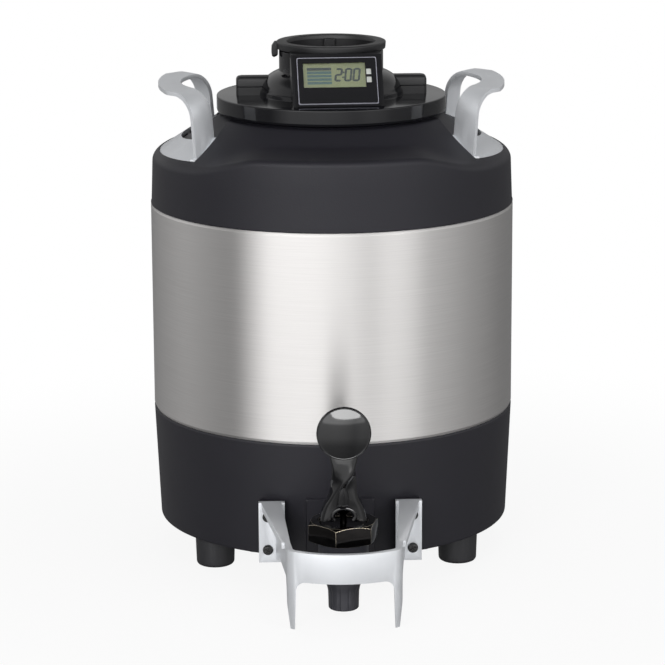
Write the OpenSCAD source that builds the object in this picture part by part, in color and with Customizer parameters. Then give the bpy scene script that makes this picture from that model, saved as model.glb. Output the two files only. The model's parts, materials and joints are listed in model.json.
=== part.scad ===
// Thermal coffee server: insulated steel tank, brew-through lid with level display, pull tap.
// Millimetres, +Z up, floor at z = 0. The tap points to -Y.

/* [Body] */
// Radius of the steel band
body_r = 115; // [100:1:130]
// Height of the feet under the base
foot_h = 21; // [12:0.5:30]
// Height of the base cover
base_h = 72.6; // [66:0.5:100]
// Height of the visible steel band
band_h = 131.4; // [90:1:220]
// How much the base cover narrows towards its lower edge
base_taper = 3.2; // [0:0.1:5]
// Wall of the steel band
band_wall = 1.2; // [0.8:0.1:2]
// Wall of the plastic covers
cover_wall = 3; // [2:0.1:4]
// Height of the spigots that hold the covers in the band
spigot_h = 6; // [3:0.5:12]

/* [Top cover] */
// Height of the cover's upright wall
cover_wall_h = 27; // [25:0.5:60]
// How much that wall narrows towards its upper edge
cover_taper = 1.4; // [0:0.1:3]
// Radius of the rounded edge
cover_edge_r = 5; // [3:0.5:8]
// Slope of the shoulder in degrees
shoulder_deg = 33; // [28:1:36]
// Height of the front and rear brows above the wall's rounded edge
brow_h = 16; // [13:0.5:18]
// Slope of the brows' shelf in degrees
brow_deg = 9; // [4:1:14]
// Half width of the brows' level edge
brow_half = 53.5; // [46:0.5:56]
// Fall of the brows towards the handles in degrees
brow_fall = 22.5; // [20:0.5:28]
// Outer radius of the neck
neck_r = 68; // [66:0.5:70]

/* [Tank] */
// Wall of the tank
tank_wall = 1.5; // [1:0.1:2.5]
// Gap between the tank and the steel band
tank_gap = 8; // [6:0.5:14]
// Height of the tank's floor above the base cover's lower edge
tank_floor = 33; // [31:0.5:40]
// Outer radius of the drain stub
drain_r = 9; // [7:0.5:10]

/* [Lid] */
// Radius of the lid's disc
lid_r = 72.4; // [71:0.2:76]
// Thickness of the lid's disc at its edge
lid_edge_h = 8.5; // [7:0.5:12]
// Outer radius of the collar
collar_r = 32.8; // [31:0.2:36]
// Height of the collar above the disc
collar_h = 28; // [24:0.5:36]
// Radius of the low dome around the collar
dome_r = 44; // [40:0.5:48]
// Height of the dome
dome_h = 17; // [12:0.5:22]
// Reach of each grip wing from the axis
wing_reach = 60; // [52:0.5:66]
// Height of the grip wings above the disc
wing_h = 12.5; // [9:0.5:18]
// Thickness of the grip wings
wing_t = 12; // [8:0.5:16]
// Radius of the plug under the lid
plug_r = 57; // [54:0.5:58]
// Depth of the plug
plug_h = 26; // [20:1:36]
// Height of each bayonet lug
lug_h = 5; // [3:0.5:7]
// Angle that each lug spans
lug_deg = 26; // [16:1:28]
// Thickness of the sealing ring
gasket_t = 2; // [1.5:0.1:3]
// Length of the mixing tube below the plug
tube_len = 120; // [60:5:140]
// Outer radius of the mixing tube
tube_r = 9; // [7:0.5:11]

/* [Funnel] */
// Outer radius of the funnel's rim
rim_r = 34.6; // [34:0.1:38]
// Height of the rim
rim_h = 5.5; // [4:0.5:8]
// Wall of the funnel
funnel_wall = 2; // [1.5:0.1:2.4]
// Radius of the funnel's outlet
outlet_r = 5; // [4:0.5:6]

/* [Display] */
// Width of the display box
display_w = 56; // [52:0.5:60]
// Length of the display's sloping face
face_len = 36.5; // [34:0.5:37]
// Lean of the face from the upright in degrees
face_deg = 36; // [30:1:38]
// Distance of the face's foot from the body axis
face_foot = 57.5; // [55:0.5:62]
// Width of the window
window_w = 49; // [44:0.5:51]
// Height of the window along the face
window_h = 31.5; // [28:0.5:32]
// Thickness of the window
window_t = 1.6; // [1:0.1:2]
// Width of the liquid crystal panel
lcd_w = 38; // [30:0.1:40]
// Height of the liquid crystal panel along the face
lcd_h = 16.4; // [12:0.1:17]

/* [Handles] */
// Thickness of the handle sheet
grip_t = 2.5; // [2:0.1:3.5]
// Distance of the handles' outline inside the steel band's radius
grip_inset = 6; // [1:0.5:9]
// Height of the grip flange above the shoulder's rim
grip_h = 45; // [30:0.5:50]
// Radius of the bend below the grip flange
grip_bend_r = 16; // [10:0.5:20]
// Lean of the legs in degrees
grip_lean = 6; // [4:1:18]
// Distance of the legs' plan arc inside the steel band's radius
leg_inset = 55; // [52:0.5:58]
// Plan radius of the legs at their foot
leg_plan_r = 83; // [79:0.5:87]
// Half width of the handle strap
strap_half = 60; // [56:0.5:64]
// Plan radius of the grip flange's outer edge
grip_plan_r = 145; // [125:1:165]
// Plan radius of the foot plate's outer edge
grip_plate_r = 97.5; // [94:0.5:101]
// Distance of the finger cut inside the steel band's radius
finger_inset = 20; // [17:0.5:23]
// Radius of the finger cut
finger_r = 58; // [54:0.5:60]
// Distance of the handle screws inside the handles' outline
grip_screw_inset = 9; // [8:0.5:11]

/* [Tap] */
// Distance of the tap's axis in front of the steel band
tap_reach = 45; // [39:0.5:49]
// Height of the shank's centre above the base cover's lower edge
shank_z = 17; // [16:0.5:20]
// Outer radius of the shank
shank_r = 8; // [6:0.5:9]
// Outer radius of the tap's body
tap_r = 15; // [14:0.5:16]
// Radius of the valve chamber
chamber_r = 10; // [9:0.5:11]
// Radius of the hexagon bonnet across its corners
bonnet_r = 22; // [20:0.5:23]
// Height of the bonnet
bonnet_h = 11.5; // [10:0.5:14]
// Gap between the spout's mouth and the floor
spout_gap = 5.4; // [3:0.2:10]
// Radius of the spout at its mouth
spout_r = 9.2; // [8:0.2:10]
// Radius of the spout's bore
spout_bore = 5.5; // [4.5:0.1:6]
// Radius of the stem
stem_r = 2; // [1.5:0.1:2.5]
// Height of the lever's pivot above the bonnet
pivot_h = 8; // [7:0.5:10]
// Radius of the lever's pin
pin_r = 1.4; // [1.2:0.1:1.6]
// Height of the knob's centre above the pivot
knob_rise = 49; // [40:0.5:60]
// Distance that the knob leans forward of the pivot
knob_lean = 11; // [6:0.5:14]
// Radius of the knob
knob_r = 16.2; // [14:0.1:18]
// Thickness of the knob
knob_t = 7; // [6:0.5:10]

/* [Guard] */
// Distance of the guard's front in front of the steel band
guard_reach = 77; // [75:0.5:85]
// Half of the guard's width between the outsides of its legs
guard_half = 34.5; // [32:0.5:38]
// Height of the guard's band
guard_band_h = 18; // [14:0.5:22]
// Thickness of the guard's band
guard_wall = 3.6; // [3:0.1:5]
// Height of the band's lower edge above the floor
guard_z = 30; // [27:0.5:34]
// Half of the width over the guard's flanges
flange_half = 50; // [48:0.5:54]
// Height of the guard's flanges
flange_h = 38; // [34:0.5:44]
// Thickness of the guard's flanges
flange_t = 4; // [3:0.5:5]
// Width of each guard arm at its flange
arm_w = 13; // [9:0.5:15]
// Thickness of the arms' top rail
rail_t = 4; // [3:0.5:6]

/* [Feet and screws] */
// Radius of a foot
foot_r = 12.6; // [10:0.2:14]
// Distance of the feet's centres inside the base's lower edge
foot_inset = 18.9; // [18:0.1:24]
// Angle of the feet from the left and right in degrees
foot_deg = 34; // [28:1:45]
// Radius of the screws' shanks
screw_r = 2; // [1.5:0.1:2.2]

/* [Clearances] */
// Gap between parts that move past each other
move_gap = 0.3; // [0.25:0.05:0.4]
// Gap between parts that are fixed together
seat_gap = 0.1; // [0.05:0.05:0.15]
// Radial gap of a pin or shaft in its bore
run_gap = 0.05; // [0.02:0.01:0.1]

/* [Hidden] */
$fn = 96;

// The origin lies under the middle of the part's box, so the body axis stands behind it.
axis_y = guard_reach / 2;
tap_y = body_r + tap_reach;
guard_front = body_r + guard_reach;

// Heights of the body
base_top = foot_h + base_h;
band_top = base_top + band_h;
edge_z = band_top + cover_wall_h;
edge_r = body_r - cover_taper;
base_r = body_r - base_taper;
spigot_r = body_r - band_wall - seat_gap;
spigot_wall = 2.4;
// Shoulder: it starts where the rounded edge meets the slope
rim_start_r = edge_r - cover_edge_r * (1 - sin(shoulder_deg));
rim_start_z = edge_z + cover_edge_r * cos(shoulder_deg);
shoulder_end = neck_r + 6;
function shoulder_z(r) = rim_start_z + (rim_start_r - r) * tan(shoulder_deg);
neck_rise = 1.1;
neck_top = shoulder_z(shoulder_end) + neck_rise;
brow_z = edge_z + brow_h;
brow_edge_r = 3;
brow_rise = 8;
brow_run = 26;
brow_in = (shoulder_z(edge_r) - brow_z) / (tan(shoulder_deg) - tan(brow_deg)) + edge_r;
function brow_top(r) = brow_z + (edge_r - r) * tan(brow_deg);
neck_wall = 3;

// Tank
tank_r = body_r - band_wall - tank_gap;
tank_z = foot_h + tank_floor;
mouth_r = neck_r - neck_wall - seat_gap;
mouth_drop = 16;
tank_mouth_z = neck_top - mouth_drop;
drain_inset = 43.8;
drain_y = tank_r - drain_inset;
drain_len = 9;

// Neck ring with the bayonet
ring_lip = 4;
lug_r = plug_r + 4;
ring_r = mouth_r - seat_gap;
ring_in = lug_r + 0.8;
ring_lip_in = plug_r + 1;
lug_count = 3;
lug_top = neck_top - ring_lip - move_gap;
notch_deg = lug_deg + 6;

// Lid
gasket_z = neck_top + move_gap;
lid_z = gasket_z + gasket_t + move_gap;
lid_top = lid_z + lid_edge_h;
lip_drop = 1.6;
gasket_out = neck_r - 0.6;
gasket_in = plug_r + 1.5;
collar_top = lid_top + collar_h;
collar_in = collar_r - 2.6;
plug_top = lid_z - seat_gap;
funnel_r = collar_in - move_gap;
funnel_floor = lid_top + 6;
throat_r = outlet_r + funnel_wall;
throat_h = 12;

// Display: distances along the face count from its foot, depths count from its surface
face_z = lid_top + seat_gap;
face_top_y = face_foot - face_len * sin(face_deg);
face_top_z = face_z + face_len * cos(face_deg);
display_back = 12;
display_wall = 2;
window_mid = 18.2;
window_sink = 0.4;
window_frame = 1.5;
lcd_x = -1.7;
lcd_mid = 21;
lcd_t = 1.6;
board_t = 1.2;
cell_r = 9;
cell_t = 2.4;
light_w = 3;
light_h = 3.8;
light_x = 19.6;
light_mids = [18, 23.9];
lcd_depth = window_t + 0.8;
board_depth = lcd_depth + lcd_t + seat_gap;
cell_depth = board_depth + board_t + seat_gap;
board_low = (cell_depth + cell_t) * tan(face_deg) + move_gap;
board_h = window_mid + window_h / 2 - 4.5 - board_low;
board_mid = board_low + board_h / 2;

// Handles
flange_z = rim_start_z + grip_h;
grip_segments = 10;
leg_foot_z = rim_start_z - 4;
grip_r = body_r - grip_inset;
leg_centre = body_r - leg_inset + leg_plan_r;
finger_x = body_r - finger_inset - finger_r;
grip_screw_at = grip_r - grip_screw_inset;
grip_screw_deg = 23;
grip_clamp = cover_wall + seat_gap + move_gap;
grip_sink = grip_t / cos(shoulder_deg);
zone_low = leg_foot_z - 20;
zone_h = grip_h + 60;

// Tap
shank_h = foot_h + shank_z;
tap_floor = shank_h - shank_r - 4;
seat_z = tap_floor + 5;
boss_wall = 2;
bonnet_z = shank_h + shank_r + boss_wall + 2 * move_gap;
bonnet_top = bonnet_z + bonnet_h;
bonnet_roof = 3;
tap_top = bonnet_top - bonnet_roof - seat_gap;
pivot_z = bonnet_top + pivot_h;
pad_half = 21;
pad_y = body_r - 0.4;
pad_h = 38;
lever_half = 14;
slot_half = 4.5;
cup_h = 6;
spring_r = 6.4;
spring_wire = 1.3;
spring_turns = 5;

// Guard
flange_y = body_r - 3.6;
flange_in = 30;
flange_mid = (flange_half + flange_in) / 2;
flange_z0 = foot_h - 1;
guard_top = guard_z + guard_band_h;
guard_front_r = 60;
guard_corner_r = 9;
guard_arm_top = flange_z0 + flange_h;
leg_top_w = 5.4;
leg_tip_w = 2.6;
leg_fillet = 6;
guard_screw_x = 44.5;
guard_screw_len = 6;
head_room = 4;
guard_screw_z = [flange_z0 + 8, flange_z0 + 29];

// Fasteners
head_r = 2 * screw_r;
head_h = 2.4;
plate_t = 2;
plate_z = foot_h + 0.5;
ledge_h = 7;
ledge_w = 9;
boss_h = 9;

// Shared helpers
module at_axis() {
    translate([0, axis_y, 0]) children();
}

module tube(r, wall, h) {
    difference() {
        cylinder(r = r, h = h);
        translate([0, 0, -1]) cylinder(r = r - wall, h = h + 2);
    }
}

function arc(c, r, a0, a1, n) = [
    for (i = [0 : n]) c + r * [cos(a0 + (a1 - a0) * i / n), sin(a0 + (a1 - a0) * i / n)]
];

// Part of a ring between two angles about Z, up to 180 degrees wide
module ring_sector(r_in, r_out, h, mid_deg, span_deg) {
    reach = 2 * r_out;
    fan = [
        [0, 0],
        reach * [cos(mid_deg - span_deg / 2), sin(mid_deg - span_deg / 2)],
        reach * [cos(mid_deg), sin(mid_deg)],
        reach * [cos(mid_deg + span_deg / 2), sin(mid_deg + span_deg / 2)]
    ];
    intersection() {
        tube(r_out, r_out - r_in, h);
        translate([0, 0, -1]) linear_extrude(h + 2) polygon(fan);
    }
}

// Rod from front to back, centred on the tap's plane
module along_y(r, y0, y1, z) {
    translate([0, y1, z]) rotate([90, 0, 0]) cylinder(r = r, h = y1 - y0);
}

// Body
module outer_shell() {
    color("silver") at_axis() translate([0, 0, base_top]) tube(body_r, band_wall, band_h);
}

tank_neck_r = lug_r + 2;
tank_shoulder_z = edge_z - 8;
tank_neck_z = tank_mouth_z - 8;
tank_corner = 14;

module tank_form(inset) {
    r = tank_r - inset;
    floor_z = tank_z + inset;
    corner = tank_corner - inset;
    rotate_extrude() polygon(concat(
        [[0, floor_z]],
        arc([r - corner, floor_z + corner], corner, -90, 0, 6),
        [
            [r, tank_shoulder_z], [tank_neck_r - inset, tank_neck_z],
            [tank_neck_r - inset, tank_mouth_z + inset], [0, tank_mouth_z + inset]
        ]
    ));
}

module inner_tank() {
    color("gainsboro") at_axis() difference() {
        union() {
            tank_form(0);
            translate([0, 0, tank_mouth_z - 2]) cylinder(r = ring_r, h = 2);
            translate([0, -drain_y, tank_z - drain_len]) cylinder(r = drain_r, h = drain_len + 1);
        }
        tank_form(tank_wall);
        translate([0, 0, tank_mouth_z - 3]) cylinder(r = tank_neck_r - tank_wall, h = 4);
        translate([0, -drain_y, tank_z - drain_len - 1])
            cylinder(r = drain_r - tank_wall, h = drain_len + tank_wall + 2);
    }
}

function base_out(z) = base_r + base_taper * (z - foot_h) / base_h;

module base_inside() {
    rotate_extrude() polygon([
        [0, foot_h - 1],
        [base_r - cover_wall, foot_h - 1],
        [base_r - cover_wall, plate_z + plate_t],
        [base_r - cover_wall - ledge_w, plate_z + plate_t],
        [base_r - cover_wall - ledge_w, plate_z + plate_t + ledge_h],
        [base_out(plate_z + plate_t + ledge_h) - cover_wall, plate_z + plate_t + ledge_h],
        [spigot_r - spigot_wall, base_top - cover_wall],
        [spigot_r - spigot_wall, base_top + spigot_h + 1],
        [0, base_top + spigot_h + 1]
    ]);
}

module base_outside() {
    rotate_extrude() polygon([
        [0, foot_h],
        [base_r - 1.5, foot_h],
        [base_r, foot_h + 1.5],
        [body_r, base_top - seat_gap],
        [spigot_r, base_top - seat_gap],
        [spigot_r, base_top + spigot_h],
        [0, base_top + spigot_h]
    ]);
}

nut_r = shank_r + 6;
nut_t = 6;
nut_y = base_out(shank_h) - cover_wall - 0.6;

module base_cover() {
    color([0.13, 0.13, 0.14]) at_axis() difference() {
        union() {
            base_outside();
            for (side = [-1, 1])
                translate([side * flange_mid, -flange_y / 2, foot_h + flange_h / 2])
                    cube([flange_half - flange_in, flange_y, flange_h - 1], center = true);
            translate([-pad_half, -pad_y, foot_h + 0.4]) cube([2 * pad_half, pad_y, pad_h]);
        }
        base_inside();
        along_y(shank_r + seat_gap, -body_r - 10, -body_r + 20, shank_h);
        along_y(nut_r + 1, -nut_y - seat_gap, -nut_y + 40, shank_h);
        guard_holes(screw_r + seat_gap);
        bottom_holes(screw_r + seat_gap);
    }
}

module guard_holes(r) {
    for (side = [-1, 1])
        for (z = guard_screw_z)
            translate([side * guard_screw_x, 0, z])
                along_y(r, -flange_y - flange_t - 1, -flange_y + guard_screw_len + 2, 0);
}

bottom_screw_r = base_r - cover_wall - ledge_w / 2;
bottom_screw_count = 6;

module bottom_spots() {
    for (i = [0 : bottom_screw_count - 1])
        rotate([0, 0, i * 360 / bottom_screw_count])
            translate([bottom_screw_r, 0, 0]) children();
}

module bottom_holes(r) {
    bottom_spots() translate([0, 0, plate_z - 1]) cylinder(r = r, h = ledge_h + plate_t);
}

module foot_spots(signs) {
    for (s = signs) translate([s[0] * foot_x, s[1] * foot_y, 0]) children();
}

foot_x = (base_r - foot_inset) * cos(foot_deg);
foot_y = (base_r - foot_inset) * sin(foot_deg);
all_feet = [[-1, -1], [1, -1], [-1, 1], [1, 1]];

module bottom_plate() {
    color("dimgray") at_axis() difference() {
        union() {
            translate([0, 0, plate_z]) cylinder(r = base_r - cover_wall - seat_gap, h = plate_t);
            foot_spots(all_feet) translate([0, 0, plate_z]) cylinder(r = 6, h = plate_t + boss_h);
        }
        foot_spots(all_feet) translate([0, 0, plate_z - 1])
            cylinder(r = screw_r + seat_gap, h = plate_t + boss_h + 2);
        bottom_holes(screw_r + seat_gap);
    }
}

module bottom_screws() {
    color("gray") at_axis() bottom_spots() {
        translate([0, 0, plate_z - 1.6]) cylinder(r = head_r, h = 1.6);
        translate([0, 0, plate_z - 1]) cylinder(r = screw_r, h = ledge_h + plate_t - 1);
    }
}

foot_bore_h = foot_h - 9;

module foot(sign) {
    edge = 2.4;
    color([0.08, 0.08, 0.08]) at_axis() foot_spots([sign]) difference() {
        rotate_extrude() polygon(concat(
            [[0, 0]],
            arc([foot_r - edge - 0.6, edge], edge, -90, 0, 5),
            [[foot_r, plate_z], [0, plate_z]]
        ));
        translate([0, 0, -1]) cylinder(r = head_r + 1, h = foot_bore_h + 1);
        cylinder(r = screw_r + seat_gap, h = foot_h + 2);
    }
}

module foot_screws() {
    color("gray") at_axis() foot_spots(all_feet) {
        translate([0, 0, foot_bore_h - head_h]) cylinder(r = head_r, h = head_h);
        translate([0, 0, foot_bore_h - 1]) cylinder(r = screw_r, h = plate_z + boss_h - foot_bore_h);
    }
}

// Top cover and neck
module top_cover() {
    inner_r = spigot_r - spigot_wall;
    slope = tan(shoulder_deg);
    inner_bevel = 4;
    shell = (cover_wall + grip_t + seat_gap) / cos(shoulder_deg);
    inner_edge_z = rim_start_z - shell + (rim_start_r - inner_r + inner_bevel) * slope;
    neck_in = neck_r - neck_wall;
    color([0.13, 0.13, 0.14]) at_axis() difference() {
        union() {
            rotate_extrude() polygon(concat(
                [
                    [inner_r, band_top - spigot_h], [spigot_r, band_top - spigot_h],
                    [spigot_r, band_top + seat_gap], [body_r, band_top + seat_gap]
                ],
                arc([edge_r - cover_edge_r, edge_z], cover_edge_r, 0, 90 - shoulder_deg, 6),
                [
                    [shoulder_end, shoulder_z(shoulder_end)],
                    [neck_r, shoulder_z(shoulder_end) + neck_rise / 2],
                    [neck_r, neck_top], [neck_in, neck_top],
                    [neck_in, shoulder_z(neck_in) - shell],
                    [inner_r - inner_bevel, inner_edge_z], [inner_r, inner_edge_z - inner_bevel]
                ]
            ));
            brows();
        }
        brow_hollows();
        both_sides() difference() {
            grip_zone(seat_gap);
            shoulder_solid(-grip_sink - seat_gap);
        }
        grip_screw_shanks(screw_r + seat_gap, seat_gap);
    }
}

// The wall stands higher at the front and rear, and falls towards the handles
module brow_limit(drop) {
    high = brow_z + brow_rise - drop;
    low = edge_z - 6;
    end = brow_half + brow_run - drop;
    end_z = brow_z - drop - (end - brow_half) * tan(brow_fall);
    level = brow_half - brow_rise / tan(brow_fall);
    translate([0, body_r, 0]) rotate([90, 0, 0]) linear_extrude(2 * body_r) polygon([
        [-end, low], [-end, end_z], [-level, high], [level, high], [end, end_z], [end, low]
    ]);
}

module brows() {
    sunk = cover_wall / 2;
    end_r = brow_in - 1;
    edge_mid = brow_top(edge_r - brow_edge_r * (1 - sin(brow_deg))) - brow_edge_r * cos(brow_deg);
    intersection() {
        rotate_extrude() polygon(concat(
            [
                [end_r, shoulder_z(end_r) - sunk], [rim_start_r - 1, shoulder_z(rim_start_r - 1) - sunk],
                [edge_r - sunk, edge_z - 2], [edge_r, edge_z]
            ],
            arc([edge_r - brow_edge_r, edge_mid], brow_edge_r, 0, 90 - brow_deg, 5),
            [[end_r, brow_top(end_r)]]
        ));
        brow_limit(0);
    }
}

module brow_hollows() {
    out_r = edge_r - cover_wall;
    intersection() {
        rotate_extrude() polygon([
            [brow_in, edge_z], [out_r, edge_z],
            [out_r, brow_top(out_r) - cover_wall], [brow_in, brow_top(brow_in) - cover_wall]
        ]);
        brow_limit(cover_wall / cos(brow_fall));
    }
}

module lug_sectors(r_in, r_out, h, span) {
    for (i = [0 : lug_count - 1]) ring_sector(r_in, r_out, h, 90 + i * 360 / lug_count, span);
}

module neck_ring() {
    bottom = tank_mouth_z + seat_gap;
    color([0.1, 0.1, 0.1]) at_axis() difference() {
        translate([0, 0, bottom]) cylinder(r = ring_r, h = neck_top - bottom);
        translate([0, 0, bottom - 1]) cylinder(r = ring_in, h = neck_top - ring_lip - bottom + 1);
        translate([0, 0, bottom]) cylinder(r = ring_lip_in, h = neck_top - bottom + 1);
        translate([0, 0, neck_top - ring_lip - 1])
            lug_sectors(plug_r, ring_in, ring_lip + 2, notch_deg);
    }
}

// Handles: one bent sheet each, with a foot on the shoulder, two legs and a flat grip
function grip_mid() = let (
        lean = [-sin(grip_lean), cos(grip_lean)],
        end_z = flange_z - grip_t / 2,
        bend_z = end_z - grip_bend_r * (1 - sin(grip_lean)),
        bend_x = leg_plan_r - tan(grip_lean) * (bend_z - leg_foot_z),
        c = [bend_x - grip_bend_r * cos(grip_lean), bend_z - grip_bend_r * sin(grip_lean)]
    ) concat(
        [[leg_plan_r, leg_foot_z]],
        arc(c, grip_bend_r, grip_lean, 90, grip_segments),
        [[leg_centre - grip_r - 4, end_z]]
    );

function side_of(path, d) = [
    for (i = [0 : len(path) - 1]) let (
        a = path[max(i - 1, 0)],
        b = path[min(i + 1, len(path) - 1)],
        t = (b - a) / norm(b - a)
    ) path[i] + d * [t[1], -t[0]]
];

function reversed(p) = [for (i = [len(p) - 1 : -1 : 0]) p[i]];

module shoulder_solid(rise) {
    far = body_r + 20;
    rotate_extrude() polygon([
        [0, shoulder_z(0) + rise], [0, foot_h], [far, foot_h], [far, shoulder_z(far) + rise]
    ]);
}

// Plan of a handle's foot plate, sunk flush in the shoulder
module grip_zone(gap) {
    intersection() {
        translate([-leg_centre, 0, zone_low]) cylinder(r = leg_plan_r + grip_t / 2 + gap, h = zone_h);
        translate([grip_plate_r - grip_r, 0, zone_low]) cylinder(r = grip_plate_r + gap, h = zone_h);
    }
}

module both_sides() {
    children();
    mirror([1, 0, 0]) children();
}

module handle() {
    path = grip_mid();
    difference() {
        union() {
            intersection() {
                translate([-leg_centre, 0, 0]) rotate_extrude()
                    polygon(concat(side_of(path, grip_t / 2), reversed(side_of(path, -grip_t / 2))));
                translate([grip_plan_r - grip_r, 0, zone_low]) cylinder(r = grip_plan_r, h = zone_h);
                translate([-2 * body_r, -strap_half, zone_low]) cube([2 * body_r, 2 * strap_half, zone_h]);
            }
            intersection() {
                shoulder_solid(0);
                grip_zone(0);
            }
        }
        shoulder_solid(-grip_sink);
        translate([-finger_x, 0, zone_low]) cylinder(r = finger_r, h = zone_h);
        grip_screw_shanks(screw_r + seat_gap, seat_gap);
    }
}

module left_handle() {
    color("lightgray") at_axis() handle();
}

module right_handle() {
    color("lightgray") at_axis() mirror([1, 0, 0]) handle();
}

// Hidden screws that hold the handles from inside the cover, square to the shoulder
module grip_screw_spots() {
    for (side = [0, 180])
        for (turn = [-grip_screw_deg, grip_screw_deg])
            rotate([0, 0, side + turn]) translate([grip_screw_at, 0, shoulder_z(grip_screw_at)])
                rotate([0, shoulder_deg, 0]) children();
}

module grip_screw_shanks(r, over) {
    grip_screw_spots() translate([0, 0, -grip_t - grip_clamp - head_h / 2])
        cylinder(r = r, h = grip_t / 2 + grip_clamp + head_h / 2 + over);
}

module handle_screws() {
    color("gray") at_axis() {
        grip_screw_shanks(screw_r, 0);
        grip_screw_spots() translate([0, 0, -grip_t - grip_clamp - head_h]) cylinder(r = head_r, h = head_h);
    }
}

// Drain and tap
tap_front = axis_y - tap_y;
shank_bore = 5.5;
hose_wall = 3;
hose_len = 34;
elbow_r = drain_r + hose_wall;
hose_r = shank_r + hose_wall;
hose_end = drain_y + hose_len;
shank_end = drain_y + elbow_r + boss_wall;

module at_tap() {
    translate([0, tap_front, 0]) children();
}

module drain_elbow() {
    color("whitesmoke") at_axis() difference() {
        union() {
            translate([0, -drain_y, shank_h - hose_r + move_gap])
                cylinder(r = elbow_r, h = tank_z - shank_h + hose_r - hose_wall / 2);
            along_y(hose_r, -hose_end, -drain_y, shank_h);
        }
        translate([0, -drain_y, tank_z - drain_len - seat_gap])
            cylinder(r = drain_r + seat_gap, h = 2 * drain_len);
        translate([0, -drain_y, shank_h]) cylinder(r = drain_r - tank_wall, h = tank_z - shank_h);
        along_y(shank_r + seat_gap, -hose_end - 1, -shank_end + seat_gap, shank_h);
        along_y(shank_bore, -shank_end, -drain_y + 4, shank_h);
    }
}

module drain_clamps() {
    clamp_w = 3;
    clamp_t = 1.1;
    color("silver") at_axis() {
        translate([0, -drain_y, shank_h + hose_r + 2 * move_gap])
            tube(elbow_r + clamp_t, clamp_t - seat_gap, clamp_w);
        translate([0, -hose_end + 2 * clamp_w, shank_h]) rotate([90, 0, 0])
            tube(hose_r + clamp_t, clamp_t - seat_gap, clamp_w);
    }
}

washer_t = 2.5;
washer_r = 13;

module tap_shank() {
    color("gray") at_axis() difference() {
        union() {
            along_y(shank_r, -tap_y + tap_r - boss_len, -shank_end, shank_h);
            along_y(washer_r, -pad_y - washer_t - 3, -pad_y - washer_t - seat_gap, shank_h);
        }
        along_y(shank_bore, -tap_y, -shank_end + 1, shank_h);
    }
}

module shank_washer() {
    color("whitesmoke") at_axis() translate([0, -pad_y - seat_gap, shank_h]) rotate([90, 0, 0])
        tube(washer_r, washer_r - shank_r - seat_gap, washer_t - 2 * seat_gap);
}

module shank_nut() {
    color("goldenrod") at_axis() translate([0, -nut_y + nut_t, shank_h]) rotate([90, 0, 0])
        difference() {
            cylinder(r = nut_r, h = nut_t, $fn = 6);
            translate([0, 0, -1]) cylinder(r = shank_r + seat_gap, h = nut_t + 2);
        }
}

nipple_r = spout_bore + 2;
boss_len = 4;
nipple_h = 6;

module tap_body() {
    color([0.2, 0.2, 0.22]) at_tap() difference() {
        union() {
            translate([0, 0, tap_floor]) cylinder(r = tap_r, h = tap_top - tap_floor);
            translate([0, 0, tap_floor - nipple_h]) cylinder(r = nipple_r, h = nipple_h + 1);
            along_y(shank_r + boss_wall, 0, tap_r + boss_len, shank_h);
        }
        translate([0, 0, seat_z]) cylinder(r = chamber_r, h = tap_top);
        translate([0, 0, tap_floor - nipple_h - 1]) cylinder(r = spout_bore, h = seat_z);
        along_y(shank_r + seat_gap, tap_r - boss_len - seat_gap, tap_r + 2 * boss_len, shank_h);
        along_y(shank_bore, 0, tap_r, shank_h);
    }
}

module tap_bonnet() {
    front_corner = 16;
    turned_r = bonnet_r - 0.35;
    color([0.12, 0.12, 0.12]) at_tap() translate([0, 0, bonnet_z]) difference() {
        intersection() {
            rotate([0, 0, front_corner]) cylinder(r = bonnet_r, h = bonnet_h, $fn = 6);
            rotate_extrude() polygon([
                [0, 0], [turned_r - 1.6, 0], [turned_r, 1.6],
                [turned_r, bonnet_h - 2.4], [turned_r - 3.2, bonnet_h], [0, bonnet_h]
            ]);
        }
        translate([0, 0, -1]) cylinder(r = tap_r + seat_gap, h = bonnet_h - bonnet_roof + 1);
        cylinder(r = stem_r + run_gap, h = bonnet_h + 1);
    }
}

module tap_spout() {
    top = tap_floor - seat_gap;
    color([0.2, 0.2, 0.22]) at_tap() difference() {
        translate([0, 0, spout_gap]) cylinder(r1 = spout_r, r2 = spout_r + 1.4, h = top - spout_gap);
        translate([0, 0, spout_gap - 1]) cylinder(r = spout_bore, h = top);
        translate([0, 0, tap_floor - nipple_h - seat_gap])
            cylinder(r = nipple_r + seat_gap, h = nipple_h + 1);
    }
}

cup_z = seat_z + move_gap;
cup_r = chamber_r - 1.5;
eye_r = 3.6;
eye_half = slot_half - 1.1;

module tap_stem() {
    bottom = cup_z + 2;
    color("silver") at_tap() difference() {
        union() {
            translate([0, 0, bottom]) cylinder(r = stem_r, h = pivot_z - bottom);
            translate([-eye_half, 0, pivot_z]) rotate([0, 90, 0]) cylinder(r = eye_r, h = 2 * eye_half);
        }
        translate([-slot_half, 0, pivot_z]) rotate([0, 90, 0])
            cylinder(r = pin_r + run_gap, h = 2 * slot_half);
    }
}

module seat_cup() {
    color("whitesmoke") at_tap() translate([0, 0, cup_z]) difference() {
        rotate_extrude() polygon([
            [0, 0], [cup_r - 2, 0], [cup_r, 2], [cup_r, cup_h - 1], [cup_r - 1, cup_h], [0, cup_h]
        ]);
        translate([0, 0, 2]) cylinder(r = stem_r + seat_gap, h = cup_h);
    }
}

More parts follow.
